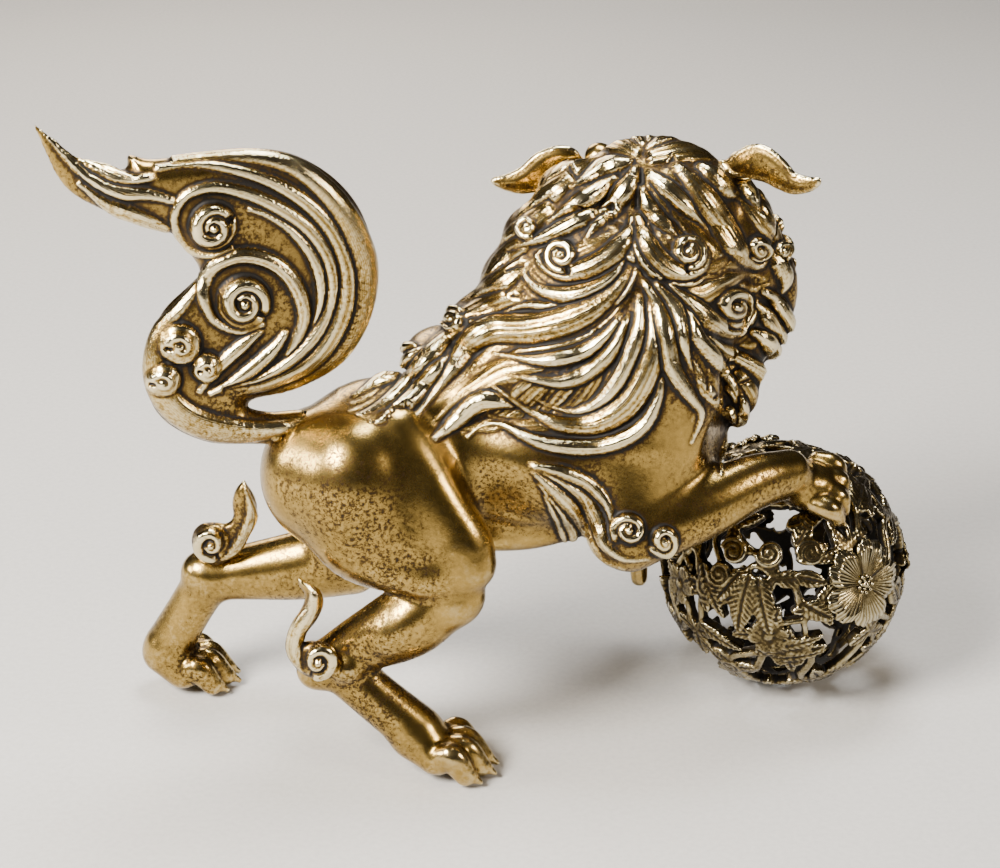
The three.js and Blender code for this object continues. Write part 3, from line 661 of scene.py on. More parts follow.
def draw_face_hair():
    """Bunches that stand round the face like rays, and the curls of the beard."""
    sheet = Relief((-60, -95), (60, 60))
    mane, beard, head = CODE["mane_casting"], CODE["beard_casting"], CODE["head_casting"]
    for degrees in range(-62, 243, 15):
        turn, lean = radians(degrees), radians(16 if degrees < 90 else -16)
        rays = [(33, 0.0), (40, 0.35), (47, 0.7), (54, 1.4)]
        points = [(cos(turn + lean * k) * r * 0.93, sin(turn + lean * k) * r + 2) for r, k in rays]
        sheet.lock(points, 9.5, mane, bulge=3.0, ribs=4, root=0.5)
    for side in (-1, 1):
        for wide, points in BEARD_HAIR:
            sheet.lock([(side * a, b) for a, b in points], wide, beard, bulge=3.0, ribs=3, root=0.6, tip=0.3)
        for a, b, radius in ((30, -27, 6), (21, -45, 5.5), (10, -60, 5)):
            sheet.volute((side * a, b), radius, beard, 0 if side > 0 else 180, -side)
        # eyebrows curl outwards above the eyes
        brow = [(side * 4, 17), (side * 11, 21), (side * 20, 22), (side * 27, 17)]
        sheet.lock(brow, 6, head, lift=0.4, bulge=1.8, ribs=3)
        sheet.volute((side * 27, 14), 4.5, head, 90, -side)
        # nostrils
        sheet.volute((side * 5.4, 4), 3.2, head, 90, side, turns=1.0, lift=0.4, bulge=1.0)
    return sheet


# ---------------------------------------------------------------- the tail
TAIL_OUTLINE = [
    (-188, 126), (-176, 115), (-166, 108), (-150, 106), (-149, 112), (-140, 110), (-120, 112),
    (-92, 114), (-71, 106), (-56, 90), (-50, 68), (-54, 46), (-64, 30), (-80, 20), (-98, 14),
    (-101, 11), (-92, 9), (-76, 9), (-76, -3), (-100, -4), (-118, -3), (-134, 5), (-141, 17),
    (-141, 34), (-135, 49), (-124, 60), (-120, 65), (-124, 72), (-131, 80), (-144, 85),
    (-162, 91), (-176, 101),
]
TAIL_HAIR = [
    (11, 1, [(-79.7, 3.5), (-100.7, 1.1), (-119.3, 4.1), (-132.3, 12.8), (-138.4, 26.4), (-136.6, 40),
             (-128.5, 49.9), (-120.5, 59.8)]),
    (6, 2, [(-94.5, 42.5), (-102, 36.3), (-111.9, 27.6), (-120.5, 16.5)]),
    (6, 3, [(-84.7, 42.5), (-89.6, 35.1), (-98.3, 27), (-108.1, 20.2), (-116.2, 15.9)]),
    (6, 2, [(-130.4, 80.8), (-144, 87), (-156.4, 91.9), (-168.7, 100.6)]),
    (6, 2, [(-126.7, 91.9), (-139.1, 95.6), (-151.4, 96.9), (-163.8, 103.1), (-174.9, 112.9),
            (-186, 125.9)]),
    (6, 2, [(-136.6, 103.1), (-148.9, 101.8), (-160.1, 105.5), (-172.4, 114.2), (-184.8, 126.5)]),
    (7, 3, [(-87.7, 23.9), (-82.2, 36.3), (-78.5, 47.4), (-82.2, 59.8), (-90.8, 68.4), (-103.2, 71.5),
            (-114.3, 67.2), (-118.7, 57.3), (-114.9, 46.2), (-104.4, 41.2), (-94.5, 44.3)]),
    (6, 2, [(-82.2, 30.7), (-73.5, 42.5), (-71.1, 57.3), (-74.8, 70.9), (-83.4, 81.4), (-93.3, 87.6),
            (-100.7, 90.1)]),
    (6.5, 2, [(-110.6, 17.1), (-93.3, 23.3), (-78.5, 34.4), (-69.2, 47.4), (-66.7, 59.8), (-69.6, 72.1),
              (-77.9, 83.3), (-90.8, 91.9), (-103.2, 96.9), (-115.6, 98.7), (-126.1, 95),
              (-130.2, 85.7), (-125.5, 75.2), (-116.2, 71.5), (-106.9, 74.6)]),
    (7.5, 2, [(-108.1, 15.9), (-89.6, 21.5), (-74.8, 29.5), (-64.9, 43.7), (-60.9, 61), (-64.9, 77.1),
              (-74.8, 90.1), (-89.6, 100), (-106.9, 105.8), (-123, 108), (-137.8, 106.1)]),
    (10, 1, [(-100.7, 12.8), (-84.7, 17.1), (-67.3, 26.4), (-56.2, 41.2), (-53.1, 61), (-56.8, 77.1),
             (-66.1, 93.2), (-79.7, 105.5), (-94.5, 110.5), (-113.1, 111.1), (-131.6, 109.2)]),
]
TAIL_CURLS = [((-114.9, 83.3), 9.3, 20, 1), ((-102.6, 53), 10.5, -40, 1)]
TAIL_KNOBS = [((-134.1, 22.1), 6.4), ((-117.4, 27), 5.9), ((-127.9, 36.3), 8.0)]


def outline_distance(outline, a, b):
    """Signed distance on the drawing to a closed outline: negative inside."""
    pts = np.asarray(outline, float)
    best = np.full(a.shape, 1e9)
    inside = np.zeros(a.shape, bool)
    for (ax, ay), (bx, by) in zip(pts, np.roll(pts, -1, 0)):
        ex, ey = bx - ax, by - ay
        t = np.clip(((a - ax) * ex + (b - ay) * ey) / (ex * ex + ey * ey), 0, 1)
        best = np.minimum(best, (a - ax - t * ex) ** 2 + (b - ay - t * ey) ** 2)
        crosses = ((ay <= b) != (by <= b)) & (a < (b - ay) / (by - ay + 1e-12) * ex + ax)
        inside ^= crosses
    return np.where(inside, -1, 1) * np.sqrt(best)


def depth_at(depth, x):
    """A depth that is a number, or a function of x."""
    return depth(x) if callable(depth) else depth


def tail_middle(x):
    """Depth y of the upright plane that the tail lies in."""
    return -41 + (x + 100) * 0.23


def from_side(points):
    """Plain side view: x and z."""
    return points[..., 0], points[..., 2]


def tail_thickness(a):
    """Half the tail's depth, thinner towards its tip."""
    return 2.4 + 6.6 * smooth(-182, -140, a)


def inflated(outline, low, high, middle, thick, edge, voxel=1.0, view=on_drawing):
    """A cushion with this outline in a view. middle is its mid depth y, thick its half depth."""
    clay = Clay(low, high, voxel)
    cell = 0.5
    first = np.min(outline, 0) - 8
    last = np.max(outline, 0) + 8
    aa, bb = np.arange(first[0], last[0], cell), np.arange(first[1], last[1], cell)
    curve = catmull(outline + outline[:1], len(outline) * 8)[:-1]
    flat = outline_distance(curve, *np.meshgrid(aa, bb, indexing="ij"))
    _, x, y, z = clay.window(clay.low, clay.low + np.array(clay.shape) * clay.voxel)
    x, y, z = np.broadcast_arrays(x, y, z)
    a, b = view(np.stack([x, y, z], -1))
    i = np.clip((a - first[0]) / cell, 0, flat.shape[0] - 1.01)
    j = np.clip((b - first[1]) / cell, 0, flat.shape[1] - 1.01)
    i0, j0 = i.astype(int), j.astype(int)
    fi, fj = i - i0, j - j0
    near = flat[i0, j0] * (1 - fi) + flat[i0 + 1, j0] * fi
    beyond = flat[i0, j0 + 1] * (1 - fi) + flat[i0 + 1, j0 + 1] * fi
    d = near * (1 - fj) + beyond * fj
    depth = depth_at(thick, a)
    q = np.clip((edge + d) / edge, 0, None)
    clay.field[:] = (np.sqrt(q * q + ((y - depth_at(middle, x)) / depth) ** 2) - 1) * np.minimum(depth, edge)
    clay.owner[:] = LOOSE
    return clay


def draw_tail():
    """The tail's combed hair, its two curls and the knobs at its root."""
    sheet = Relief((-195, -12), (-40, 134))
    for wide, ribs, points in TAIL_HAIR:
        sheet.lock(points, wide, LOOSE, bulge=2.4, ribs=ribs, root=0.5, tip=0.35)
    for centre, radius, start, way in TAIL_CURLS:
        sheet.bead(centre, radius, LOOSE, 2.4)
        sheet.volute(centre, radius, LOOSE, start, way, lift=2.0)
    for centre, radius in TAIL_KNOBS:
        sheet.bead(centre, radius, LOOSE, 4.2)
        sheet.volute(centre, radius * 0.66, LOOSE, 200, -1, 1.1, lift=3.6, bulge=1.0)
    return sheet


# ---------------------------------------------------------------- ears and tufts
LEFT_EAR = [
    (33.3, 110.1), (30.4, 113.4), (23.7, 114.9), (15, 112), (8.3, 106.2), (2.6, 103.4), (-3.2, 101.9),
    (-2.2, 100), (1.6, 98.1), (7.4, 96.6), (14.1, 97.1), (20.8, 98.6), (25.6, 102.4), (29.4, 106.2),
]
RIGHT_EAR = [
    (88, 109.1), (91.8, 109.5), (94.2, 112), (100.5, 115.4), (107.2, 114.4), (113.9, 109.1),
    (117.8, 104.3), (122.6, 102.6), (128.3, 101.9), (127.8, 100), (123.5, 97.1), (116.8, 96.4),
    (110.1, 99), (105.3, 101.4), (97.6, 102.9), (92.8, 104),
]
LEFT_HOCK_FLAME = [
    (-102.4, -17.9), (-97.6, -25.9), (-97.6, -33), (-101.5, -40), (-104.2, -45.3), (-108.6, -50.6),
    (-113.9, -52.8), (-120.1, -50.6), (-123.1, -45.3), (-123.1, -40), (-120.1, -36.1), (-114.8, -35.1),
    (-109.5, -35.6), (-106.8, -33), (-107.2, -27.6), (-105.9, -22.3),
]
RIGHT_HOCK_FLAME = [
    (-81.2, -56.5), (-77.6, -59.5), (-71.4, -62.7), (-70.5, -68.3), (-73.2, -74.5), (-77.6, -79.9),
    (-79.4, -83.2), (-75.9, -82.5), (-70.5, -83.4), (-66.1, -86.9), (-65.2, -92.2), (-67.9, -96.7),
    (-73.2, -98.1), (-79.4, -95.8), (-84.7, -89.6), (-85.2, -82.5), (-82.9, -75.4), (-78.9, -68.3),
    (-78.2, -63.9), (-80.6, -60.4),
]
LEFT_ELBOW_FLAME = [
    (10, 124), (17, 123), (28, 117), (37, 108), (43, 103), (47, 108), (53, 109), (57, 104),
    (55, 98), (49, 94), (41, 95), (33, 101), (24, 109), (15, 116),
]


def draw_ear(outline):
    """A leaf-shaped ear has a rolled rim."""
    sheet = Relief((-10, 90), (135, 122))
    rim = catmull(outline + outline[:1], 120)
    sheet.lock(rim, 2.2, LOOSE, lift=0.2, bulge=0.8, ribs=1, root=1, tip=1)
    return sheet


def draw_flame(outline, lock, curl, radius, start, way):
    """A flame of hair: one long lock that ends in a spiral curl."""
    sheet = Relief(np.min(outline, 0) - 6, np.max(outline, 0) + 6)
    wide, ribs, points = lock
    sheet.lock(points, wide, LOOSE, lift=0.4, bulge=1.8, ribs=ribs, root=0.5)
    sheet.bead(curl, radius, LOOSE, 1.2)
    sheet.volute(curl, radius, LOOSE, start, way, turns=1.25, lift=0.9, bulge=2.0)
    return sheet


# ---------------------------------------------------------------- meshes
def mesh_object(name, points_mm, faces, attributes):
    """A smooth mesh object in metres, from points in the sculptor's millimetres."""
    faces = np.asarray(faces)
    mesh = bpy.data.meshes.new(name)
    mesh.vertices.add(len(points_mm))
    mesh.vertices.foreach_set("co", ((np.asarray(points_mm) + SHIFT) * MM).astype(np.float32).ravel())
    sides = faces.shape[1]
    mesh.loops.add(faces.size)
    mesh.loops.foreach_set("vertex_index", faces.astype(np.int32).ravel())
    mesh.polygons.add(len(faces))
    mesh.polygons.foreach_set("loop_start", np.arange(0, faces.size, sides, dtype=np.int32))
    mesh.update(calc_edges=True)
    mesh.validate()
    for key, values in attributes.items():
        layer = mesh.attributes.new(key, "FLOAT", "POINT")
        layer.data.foreach_set("value", np.asarray(values, np.float32))
    mesh.polygons.foreach_set("use_smooth", np.ones(len(mesh.polygons), bool))
    made = bpy.data.objects.new(name, mesh)
    bpy.context.scene.collection.objects.link(made)
    return made


def finer(points, quads, owner):
    """Each quad becomes four, and the surface is rounded as it is split."""
    count = len(points)
    edges = np.stack([quads, np.roll(quads, -1, 1)], -1).reshape(-1, 2)
    ends = np.sort(edges, 1)
    key = ends[:, 0].astype(np.int64) * count + ends[:, 1]
    unique, where = np.unique(key, return_inverse=True)
    first, second = unique // count, unique % count
    where = where.reshape(-1, 4)
    centres = points[quads].mean(1)
    total = np.zeros((len(unique), 3))
    np.add.at(total, where.ravel(), np.repeat(centres, 4, 0))
    used = np.bincount(where.ravel(), minlength=len(unique))[:, None]
    middle = (points[first] + points[second]) / 2
    middles = np.where(used == 2, (middle + total / np.maximum(used, 1)) / 2, middle)
    # corners move towards the mean of their faces and edges
    face_sum = np.zeros_like(points)
    np.add.at(face_sum, quads.ravel(), np.repeat(centres, 4, 0))
    face_count = np.bincount(quads.ravel(), minlength=count)[:, None]
    edge_sum = np.zeros_like(points)
    np.add.at(edge_sum, first, middle)
    np.add.at(edge_sum, second, middle)
    edge_count = np.bincount(np.r_[first, second], minlength=count)[:, None]
    n = np.maximum(face_count, 3)
    face_mean, edge_mean = face_sum / np.maximum(face_count, 1), edge_sum / np.maximum(edge_count, 1)
    rounded = (face_mean + 2 * edge_mean + (n - 3) * points) / n
    corners = np.where(edge_count == face_count, rounded, points)
    everything = np.vstack([corners, middles, centres])
    e = count + where
    c = count + len(unique) + np.arange(len(quads))
    before = np.roll(e, 1, 1)
    new = np.stack([quads, e, np.repeat(c[:, None], 4, 1), before], -1).reshape(-1, 4)
    owners = np.concatenate([owner, owner[first], owner[quads[:, 0]]])
    return everything, new, owners


def normals_of(points, quads):
    """Unit normals of the vertices."""
    a, b = points[quads[:, 2]] - points[quads[:, 0]], points[quads[:, 3]] - points[quads[:, 1]]
    n = np.cross(a, b)
    total = np.zeros_like(points)
    for k in range(4):
        for axis in range(3):
            total[:, axis] += np.bincount(quads[:, k], n[:, axis], len(points))
    return total / (np.linalg.norm(total, axis=1)[:, None] + 1e-9)


def relax(points, quads, passes=1, strength=0.5):
    """Evens out voxel steps."""
    for _ in range(passes):
        total, used = np.zeros_like(points), np.zeros(len(points))
        for k in range(4):
            ahead = quads[:, (k + 1) % 4]
            used += np.bincount(quads[:, k], minlength=len(points))
            for axis in range(3):
                total[:, axis] += np.bincount(quads[:, k], points[ahead, axis], len(points))
        points = points + (total / np.maximum(used, 1)[:, None] - points) * strength
    return points


def apply_relief(points, quads, owner, sheet, takes, left_out, view):
    """Raises the surface by the hair drawn in a view. The side views raise the far side as well."""
    eye = {
        on_drawing: DRAWING_EYE,
        from_side: np.array([0, -DRAWING_DISTANCE, DRAWING_HEIGHT]),
        on_face: on_head((DRAWING_DISTANCE, 0, 0)),
    }[view]
    n = normals_of(points, quads)
    towards = eye - points
    towards /= np.linalg.norm(towards, axis=1)[:, None]
    facing = (n * towards).sum(1)
    facing = facing if view is on_face else np.abs(facing)
    a, b = view(points)
    height = sheet.blurred(sheet.height, 1, 2)
    wide = sheet.blurred(sheet.height, 5, 2) * 0.55 + sheet.blurred(sheet.height, 13, 2) * 0.45
    allowed = np.isin(owner, takes) & ~left_out
    weight = smooth(0.02, 0.3, facing) * allowed
    h = sheet.sample(height, a, b) * weight
    # how far each place lies below the hair around it; it later paints oxide and painted shade between the
    # locks
    hollow = np.clip(sheet.sample(wide, a, b) - sheet.sample(height, a, b), -1.5, 1.5) * weight
    strand = sheet.sample(sheet.strand, a, b)
    drawn = sheet.sample(sheet.owner, a, b) * (weight > 0.2)
    return points + n * h[:, None], hollow, strand, drawn, weight


def curvature(points, quads):
    """How hollow the surface is at each vertex, in millimetres: over its neighbours and more broadly."""
    n = normals_of(points, quads)
    mean = relax(points, quads, 1, 1.0)
    near = ((mean - points) * n).sum(1)
    mean = relax(points, quads, 7, 0.8)
    return near, ((mean - points) * n).sum(1)


# ---------------------------------------------------------------- finishes
def linear(hex_code):
    """An sRGB hex colour as the linear values that a shader takes."""
    parts = [int(hex_code[i : i + 2], 16) / 255 for i in (0, 2, 4)]
    return [c / 12.92 if c <= 0.04045 else ((c + 0.055) / 1.055) ** 2.4 for c in parts] + [1.0]


def grey(value):
    return [value, value, value, 1.0]


def node(tree, kind, settings=None, **links):
    """Adds a node. settings are attributes, socket values or colour stops, links are sockets to join."""
    made = tree.nodes.new(kind)
    for key, value in (settings or {}).items():
        if key == "stops":
            elements = made.color_ramp.elements
            while len(elements) < len(value):
                elements.new(0.5)
            for element, (place, colour) in zip(elements, value):
                element.position, element.color = place, colour
        elif hasattr(made, key):
            setattr(made, key, value)
        else:
            made.inputs[int(key[1:]) if key[0] == "_" else key].default_value = value
    for key, source in links.items():
        socket = made.inputs[int(key[1:])] if key[0] == "_" else made.inputs[key.replace("__", " ")]
        tree.links.new(source, socket)
    return made


def new_material(name):
    material = bpy.data.materials.new(name)
    material.use_nodes = True
    material.node_tree.nodes.clear()
    return material, material.node_tree


def bronze(name, high, base, shade, deep, strands):
    """Lost-wax cast bronze, fire gilt and then rubbed by hands and cloths.

    Pale gold on the high parts is rubbed gilding and painted highlight. Towards the hollows the
    gilding browns to a nearly black oxide that fills them, with painted shade laid over it. The cast skin is
    finely pitted and freckled.
    """
    material, tree = new_material(name)
    math, noise, stops = "ShaderNodeMath", "ShaderNodeTexNoise", "ShaderNodeValToRGB"
    place = node(tree, "ShaderNodeTexCoord").outputs["Object"]
    # the hollow layer is painted darkness: oxide and painted shade in the hollows, rubbed gilding and
    # painted highlight on the ridges
    hollow, strand, hair = (
        node(tree, "ShaderNodeAttribute", {"attribute_name": layer}).outputs["Fac"]
        for layer in ("hollow", "strand", "hair")
    )
    # clouds of thinner gilding, 12 mm across, and fine pitting of the cast skin, 0.8 mm
    clouds = node(tree, noise, {"Scale": 80.0, "Detail": 4.0, "Roughness": 0.6}, Vector=place)
    pits = node(tree, noise, {"Scale": 1200.0, "Detail": 3.0, "Roughness": 0.65}, Vector=place)
    marks = node(tree, noise, {"Scale": 300.0, "Detail": 5.0, "Roughness": 0.7}, Vector=place).outputs["Fac"]
    # chased hair lines, about 0.7 mm apart: a bump, with painted shade in their grooves and painted
    # highlight on their crests
    wave = node(tree, math, {"operation": "MULTIPLY", "_1": 2 * pi * 1.5}, _0=strand)
    lines = node(tree, math, {"operation": "SINE"}, _0=wave.outputs[0])
    lines = node(tree, math, {"operation": "MULTIPLY"}, _0=lines.outputs[0], _1=hair).outputs[0]
    # freckles of old patina, 1 mm, thick in some places and rubbed off in others
    spots = node(tree, noise, {"Scale": 650.0, "Detail": 4.0, "Roughness": 0.7}, Vector=place)
    rubbed = node(tree, noise, {"Scale": 28.0, "Detail": 3.0, "Roughness": 0.55}, Vector=place)
    dots = node(tree, stops, {"stops": [(0.44, grey(0)), (0.66, grey(1))]}, Fac=spots.outputs["Fac"])
    worn = node(tree, stops, {"stops": [(0.38, grey(0.03)), (0.66, grey(0.42))]}, Fac=rubbed.outputs["Fac"])
    freckle = node(tree, math, {"operation": "MULTIPLY"}, _0=dots.outputs["Color"], _1=worn.outputs["Color"])
    # how dark each place is: oxide and painted shade in the hollows, freckles, tool marks, and painted shade
    # in the grooves of the hair lines
    jitter = node(tree, math, {"operation": "MULTIPLY_ADD", "_1": 0.2, "_2": -0.1}, _0=marks)
    jitter = node(tree, math, {"operation": "ADD"}, _0=jitter.outputs[0], _1=freckle.outputs[0])
    dark = node(tree, math, {"operation": "ADD"}, _0=hollow, _1=jitter.outputs[0])
    # painted shade in the grooves of the hair lines, painted highlight on their crests
    painted_line_shading = node(tree, math, {"operation": "MULTIPLY", "_1": -0.05 * strands}, _0=lines)
    dark = node(tree, math, {"operation": "ADD"}, _0=dark.outputs[0], _1=painted_line_shading.outputs[0]).outputs[0]
    # the palest tone is rubbed gilding and painted highlight, the two darkest are oxide and painted shade
    tones = [(0.14, linear(high)), (0.40, linear(base)), (0.62, linear(shade)), (0.86, linear(deep))]
    tone = node(tree, stops, {"stops": tones}, Fac=dark)
    thin = [(0.35, linear("d8d8d8")), (0.7, linear("ffffff"))]
    cloud = node(tree, stops, {"stops": thin}, Fac=clouds.outputs["Fac"])
    mixing = {"data_type": "RGBA", "blend_type": "MULTIPLY", "_0": 0.7}
    colour = node(tree, "ShaderNodeMix", mixing, _6=tone.outputs["Color"], _7=cloud.outputs["Color"])
    # the rubbed parts are smooth, the oxide is dull and only half metal
    dull = [(0.1, grey(0.14)), (0.5, grey(0.25)), (0.9, grey(0.6))]
    dull = node(tree, stops, {"stops": dull}, Fac=dark).outputs["Color"]
    rough = node(tree, math, {"operation": "MULTIPLY_ADD", "_1": 0.12}, _0=marks, _2=dull)
    rough = node(tree, math, {"operation": "SUBTRACT", "_1": 0.05}, _0=rough.outputs[0])
    metal = node(tree, stops, {"stops": [(0.6, grey(1)), (0.95, grey(0.55))]}, Fac=dark)
    pit_depth = node(tree, math, {"operation": "MULTIPLY", "_1": 0.35}, _0=pits.outputs["Fac"]).outputs[0]
    height = node(tree, math, {"operation": "MULTIPLY_ADD", "_1": 0.25 * strands}, _0=lines, _2=pit_depth)
    height = node(tree, math, {"operation": "MULTIPLY_ADD", "_1": 0.5}, _0=marks, _2=height.outputs[0])
    bump = node(tree, "ShaderNodeBump", {"Strength": 0.4, "Distance": 0.00016}, Height=height.outputs[0])
    shader = node(
        tree,
        "ShaderNodeBsdfPrincipled",
        Base__Color=colour.outputs[2],
        Roughness=rough.outputs[0],
        Metallic=metal.outputs["Color"],
        Normal=bump.outputs["Normal"],
    )
    node(tree, "ShaderNodeOutputMaterial", Surface=shader.outputs[0])
    return material


# The dog is gilt. The ball has lost its gilding, so it is greyer, darker and less lined.
# Each finish's four tones run from rubbed gilding and painted highlight to oxide and painted shade.
GILT = bronze("gilt cast bronze", "efe0b2", "aa8d4c", "4c3a1f", "0f0b07", 1.0)
BALL_METAL = bronze("dull cast bronze", "c9bfa0", "857753", "40351f", "100c08", 0.4)


def dark_inlay():
    """Polished dark glass, poured and ground, set in the eye sockets: nearly black with brown flecks."""
    material, tree = new_material("dark glass inlay")
    place = node(tree, "ShaderNodeTexCoord").outputs["Object"]
    flecks = node(tree, "ShaderNodeTexNoise", {"Scale": 900.0, "Detail": 3.0}, Vector=place)
    stops = [(0.4, linear("120c08")), (0.65, linear("3a2413"))]
    tone = node(tree, "ShaderNodeValToRGB", {"stops": stops}, Fac=flecks.outputs["Fac"])
    gloss = {"Roughness": 0.06, "Coat Weight": 1.0}
    shader = node(tree, "ShaderNodeBsdfPrincipled", gloss, Base__Color=tone.outputs["Color"])
    node(tree, "ShaderNodeOutputMaterial", Surface=shader.outputs[0])
    return material


INLAY = dark_inlay()


def pale_paper():
    """Matt grey paper with a faint grain, for the floor."""
    material, tree = new_material("pale paper floor")
    place = node(tree, "ShaderNodeTexCoord").outputs["Object"]
    grain = node(tree, "ShaderNodeTexNoise", {"Scale": 400.0, "Detail": 2.0}, Vector=place)
    stops = [(0.3, linear("a3a19e")), (0.7, linear("aaa8a5"))]
    tone = node(tree, "ShaderNodeValToRGB", {"stops": stops}, Fac=grain.outputs["Fac"])
    shader = node(tree, "ShaderNodeBsdfPrincipled", {"Roughness": 0.9}, Base__Color=tone.outputs["Color"])
    node(tree, "ShaderNodeOutputMaterial", Surface=shader.outputs[0])
    return material


def dress(piece, material, slot, *nodes):
    """Gives a piece its finish and its place on the statue."""
    piece.data.materials.clear()
    piece.data.materials.append(material)
    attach(piece, "root")
    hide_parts(*nodes)


# ---------------------------------------------------------------- camera, light and floor
def set_studio():
    """The camera stands at the side drawing's eye. Five soft lamps, a large one high on its left."""
    target = (np.array([0, 0, DRAWING_HEIGHT]) + SHIFT) * MM
    lens = bpy.data.cameras.new("camera")
    lens.lens, lens.sensor_width, lens.sensor_fit = 90, 36, "HORIZONTAL"
    camera = bpy.data.objects.new("camera", lens)
    camera.location = (DRAWING_EYE + SHIFT) * MM
    camera.rotation_euler = (pi / 2 - DRAWING_TILT, 0, 0)
    bpy.context.scene.collection.objects.link(camera)
    bpy.context.scene.camera = camera

    for name, place, size, power, colour in (
        ("key", (-0.78, -0.72, 0.86), 0.5, 84, "fff9f0"),
        ("left", (-1.15, -0.3, 0.36), 0.3, 12, "fffaf2"),
        ("side", (1.1, -0.5, 0.55), 0.3, 12, "fff1de"),
        ("top", (0.1, 0.3, 1.2), 0.5, 26, "ffffff"),
        ("rim", (-0.3, 1.1, 0.5), 0.5, 8, "fff0dc"),
    ):
        lamp = bpy.data.lights.new(name, "AREA")
        lamp.size, lamp.energy, lamp.color = size, power, linear(colour)[:3]
        holder = bpy.data.objects.new(name, lamp)
        holder.location = Vector(target) + Vector(place)
        holder.rotation_euler = (Vector(target) - holder.location).to_track_quat("-Z", "Y").to_euler()
        bpy.context.scene.collection.objects.link(holder)

    world = bpy.data.worlds.new("studio")
    world.use_nodes = True
    world.node_tree.nodes["Background"].inputs[0].default_value = linear("4a4642")
    world.node_tree.nodes["Background"].inputs[1].default_value = 0.42
    bpy.context.scene.world = world

    mesh = bpy.data.meshes.new("floor")
    half = 4.0
    corners = [(-half, -half, 0), (half, -half, 0), (half, half, 0), (-half, half, 0)]
    mesh.from_pydata(corners, [], [(0, 1, 2, 3)])
    floor = bpy.data.objects.new("floor", mesh)
    bpy.context.scene.collection.objects.link(floor)
    mesh.materials.append(pale_paper())


# ---------------------------------------------------------------- making the castings
def sculpt_dog():
    """The dog in clay, with the room for the ball cut from the paw."""
    clay = Clay((-152, -80, -3), (140, 76, 248), VOXEL)
    model_torso(clay)
    model_legs(clay)
    model_mane(clay)
    # the face looks out of the open front of the mane
    clay.cut_away(ellipsoid((70, 60, 200), (40, 34, 34)), 4)
    model_head(clay)
    clay.cut_away(ellipsoid(BALL_CENTRE, (BALL_RADIUS + 0.4,) * 3), 1)
    return clay


def nowhere(points):
    return np.zeros(len(points), bool)


def finish_surface(points, quads, owner, sheet, takes, where_face=nowhere, view=on_drawing, face=None):
    """Rounds the surface, raises the hair on it, and finds how dark each place is painted: oxide and painted
    shade in the hollows and creases, rubbed gilding and painted highlight on the ridges.

    takes are the castings that hair is drawn on. where_face tells which points take the face's
    own sheet of hair instead of the view's.
    """
    points = relax(points, quads, 2, 0.5)
    points, quads, owner = finer(points, quads, owner)
    facial = where_face(points)
    points, hollow, strand, drawn, weight = apply_relief(points, quads, owner, sheet, takes, facial, view)
    if face is not None:
        points, more, face_strand, face_drawn, face_weight = apply_relief(
            points, quads, owner, face, takes, ~facial, on_face
        )
        hollow, weight = hollow + more, weight + face_weight
        strand, drawn = np.where(facial, face_strand, strand), np.where(facial, face_drawn, drawn)
    points = relax(points, quads, 1, 0.6)
    near, broad = curvature(points, quads)
    # dark is oxide and painted shade in the hollows between the locks and in creases, rubbed gilding and
    # painted highlight where the surface bulges
    dark = 0.42 + hollow * 0.27 + np.clip(near * 2.6, -0.2, 0.3) + np.clip(broad * 0.6, -0.25, 0.5)
    points[:, 2] = np.maximum(points[:, 2], 0.0)
    return points, quads, owner, drawn, {"hollow": dark, "strand": strand, "hair": (drawn > 0) * weight}


def split(points, quads, owner, attributes):
    """One object for each casting that the surface belongs to."""
    corner = np.sort(owner[quads], 1)
    of_face = np.where(corner[:, 1] == corner[:, 2], corner[:, 1], owner[quads[:, 0]])
    made = {}
    for code in np.unique(of_face):
        mine = quads[of_face == code]
        used, new = np.unique(mine, return_inverse=True)
        kept = {key: values[used] for key, values in attributes.items()}
        name = CASTINGS[code]
        made[name] = mesh_object(name + "_fine", points[used], new.reshape(-1, 4), kept)
    return made


def in_face(points):
    """The part of the head that looks out of the mane."""
    local = points - HEAD_CENTRE
    ahead = local[:, 0] * cos(HEAD_TURN) + local[:, 1] * sin(HEAD_TURN)
    return (ahead > 16) & (points[:, 2] > 120)


def make_dog():
    """The dog's castings, with the hair raised on them."""
    points, quads, owner = sculpt_dog().surface()
    hairy = ("body_casting", "mane_casting", "beard_casting", "right_foreleg", "head_casting")
    takes = [CODE[name] for name in hairy]
    points, quads, owner, drawn, look = finish_surface(
        points, quads, owner, draw_hair(), takes, in_face, face=draw_face_hair()
    )
    # hair belongs to the casting that it was drawn for
    covered = (drawn > 0) & np.isin(owner, takes) & (drawn != CODE["head_casting"])
    owner = np.where(covered, drawn, owner).astype(np.int8)
    far_elbow = (owner == CODE["right_elbow_tuft"]) & (points[:, 1] > 0)
    owner = np.where(far_elbow, CODE["body_casting"], owner)
    for name, piece in split(points, quads, owner, look).items():
        dress(piece, GILT, "gilt_bronze", name)


def make_loose(name, clay, sheet=None, view=on_drawing, casting=None, finish=GILT, slot="gilt_bronze"):
    """A piece modelled on its own, in the place of its plain casting."""
    points, quads, owner = clay.surface()
    sheet = sheet or Relief((0, 0), (1, 1))
    points, quads, _, _, look = finish_surface(points, quads, owner, sheet, [LOOSE], view=view)
    piece = mesh_object(name + "_fine", points, quads, look)
    dress(piece, finish, slot, casting or name)


def right_ear_middle(x):
    """The right ear leans back towards its tip."""
    return 7.7 - (x - 94.5) * 0.62


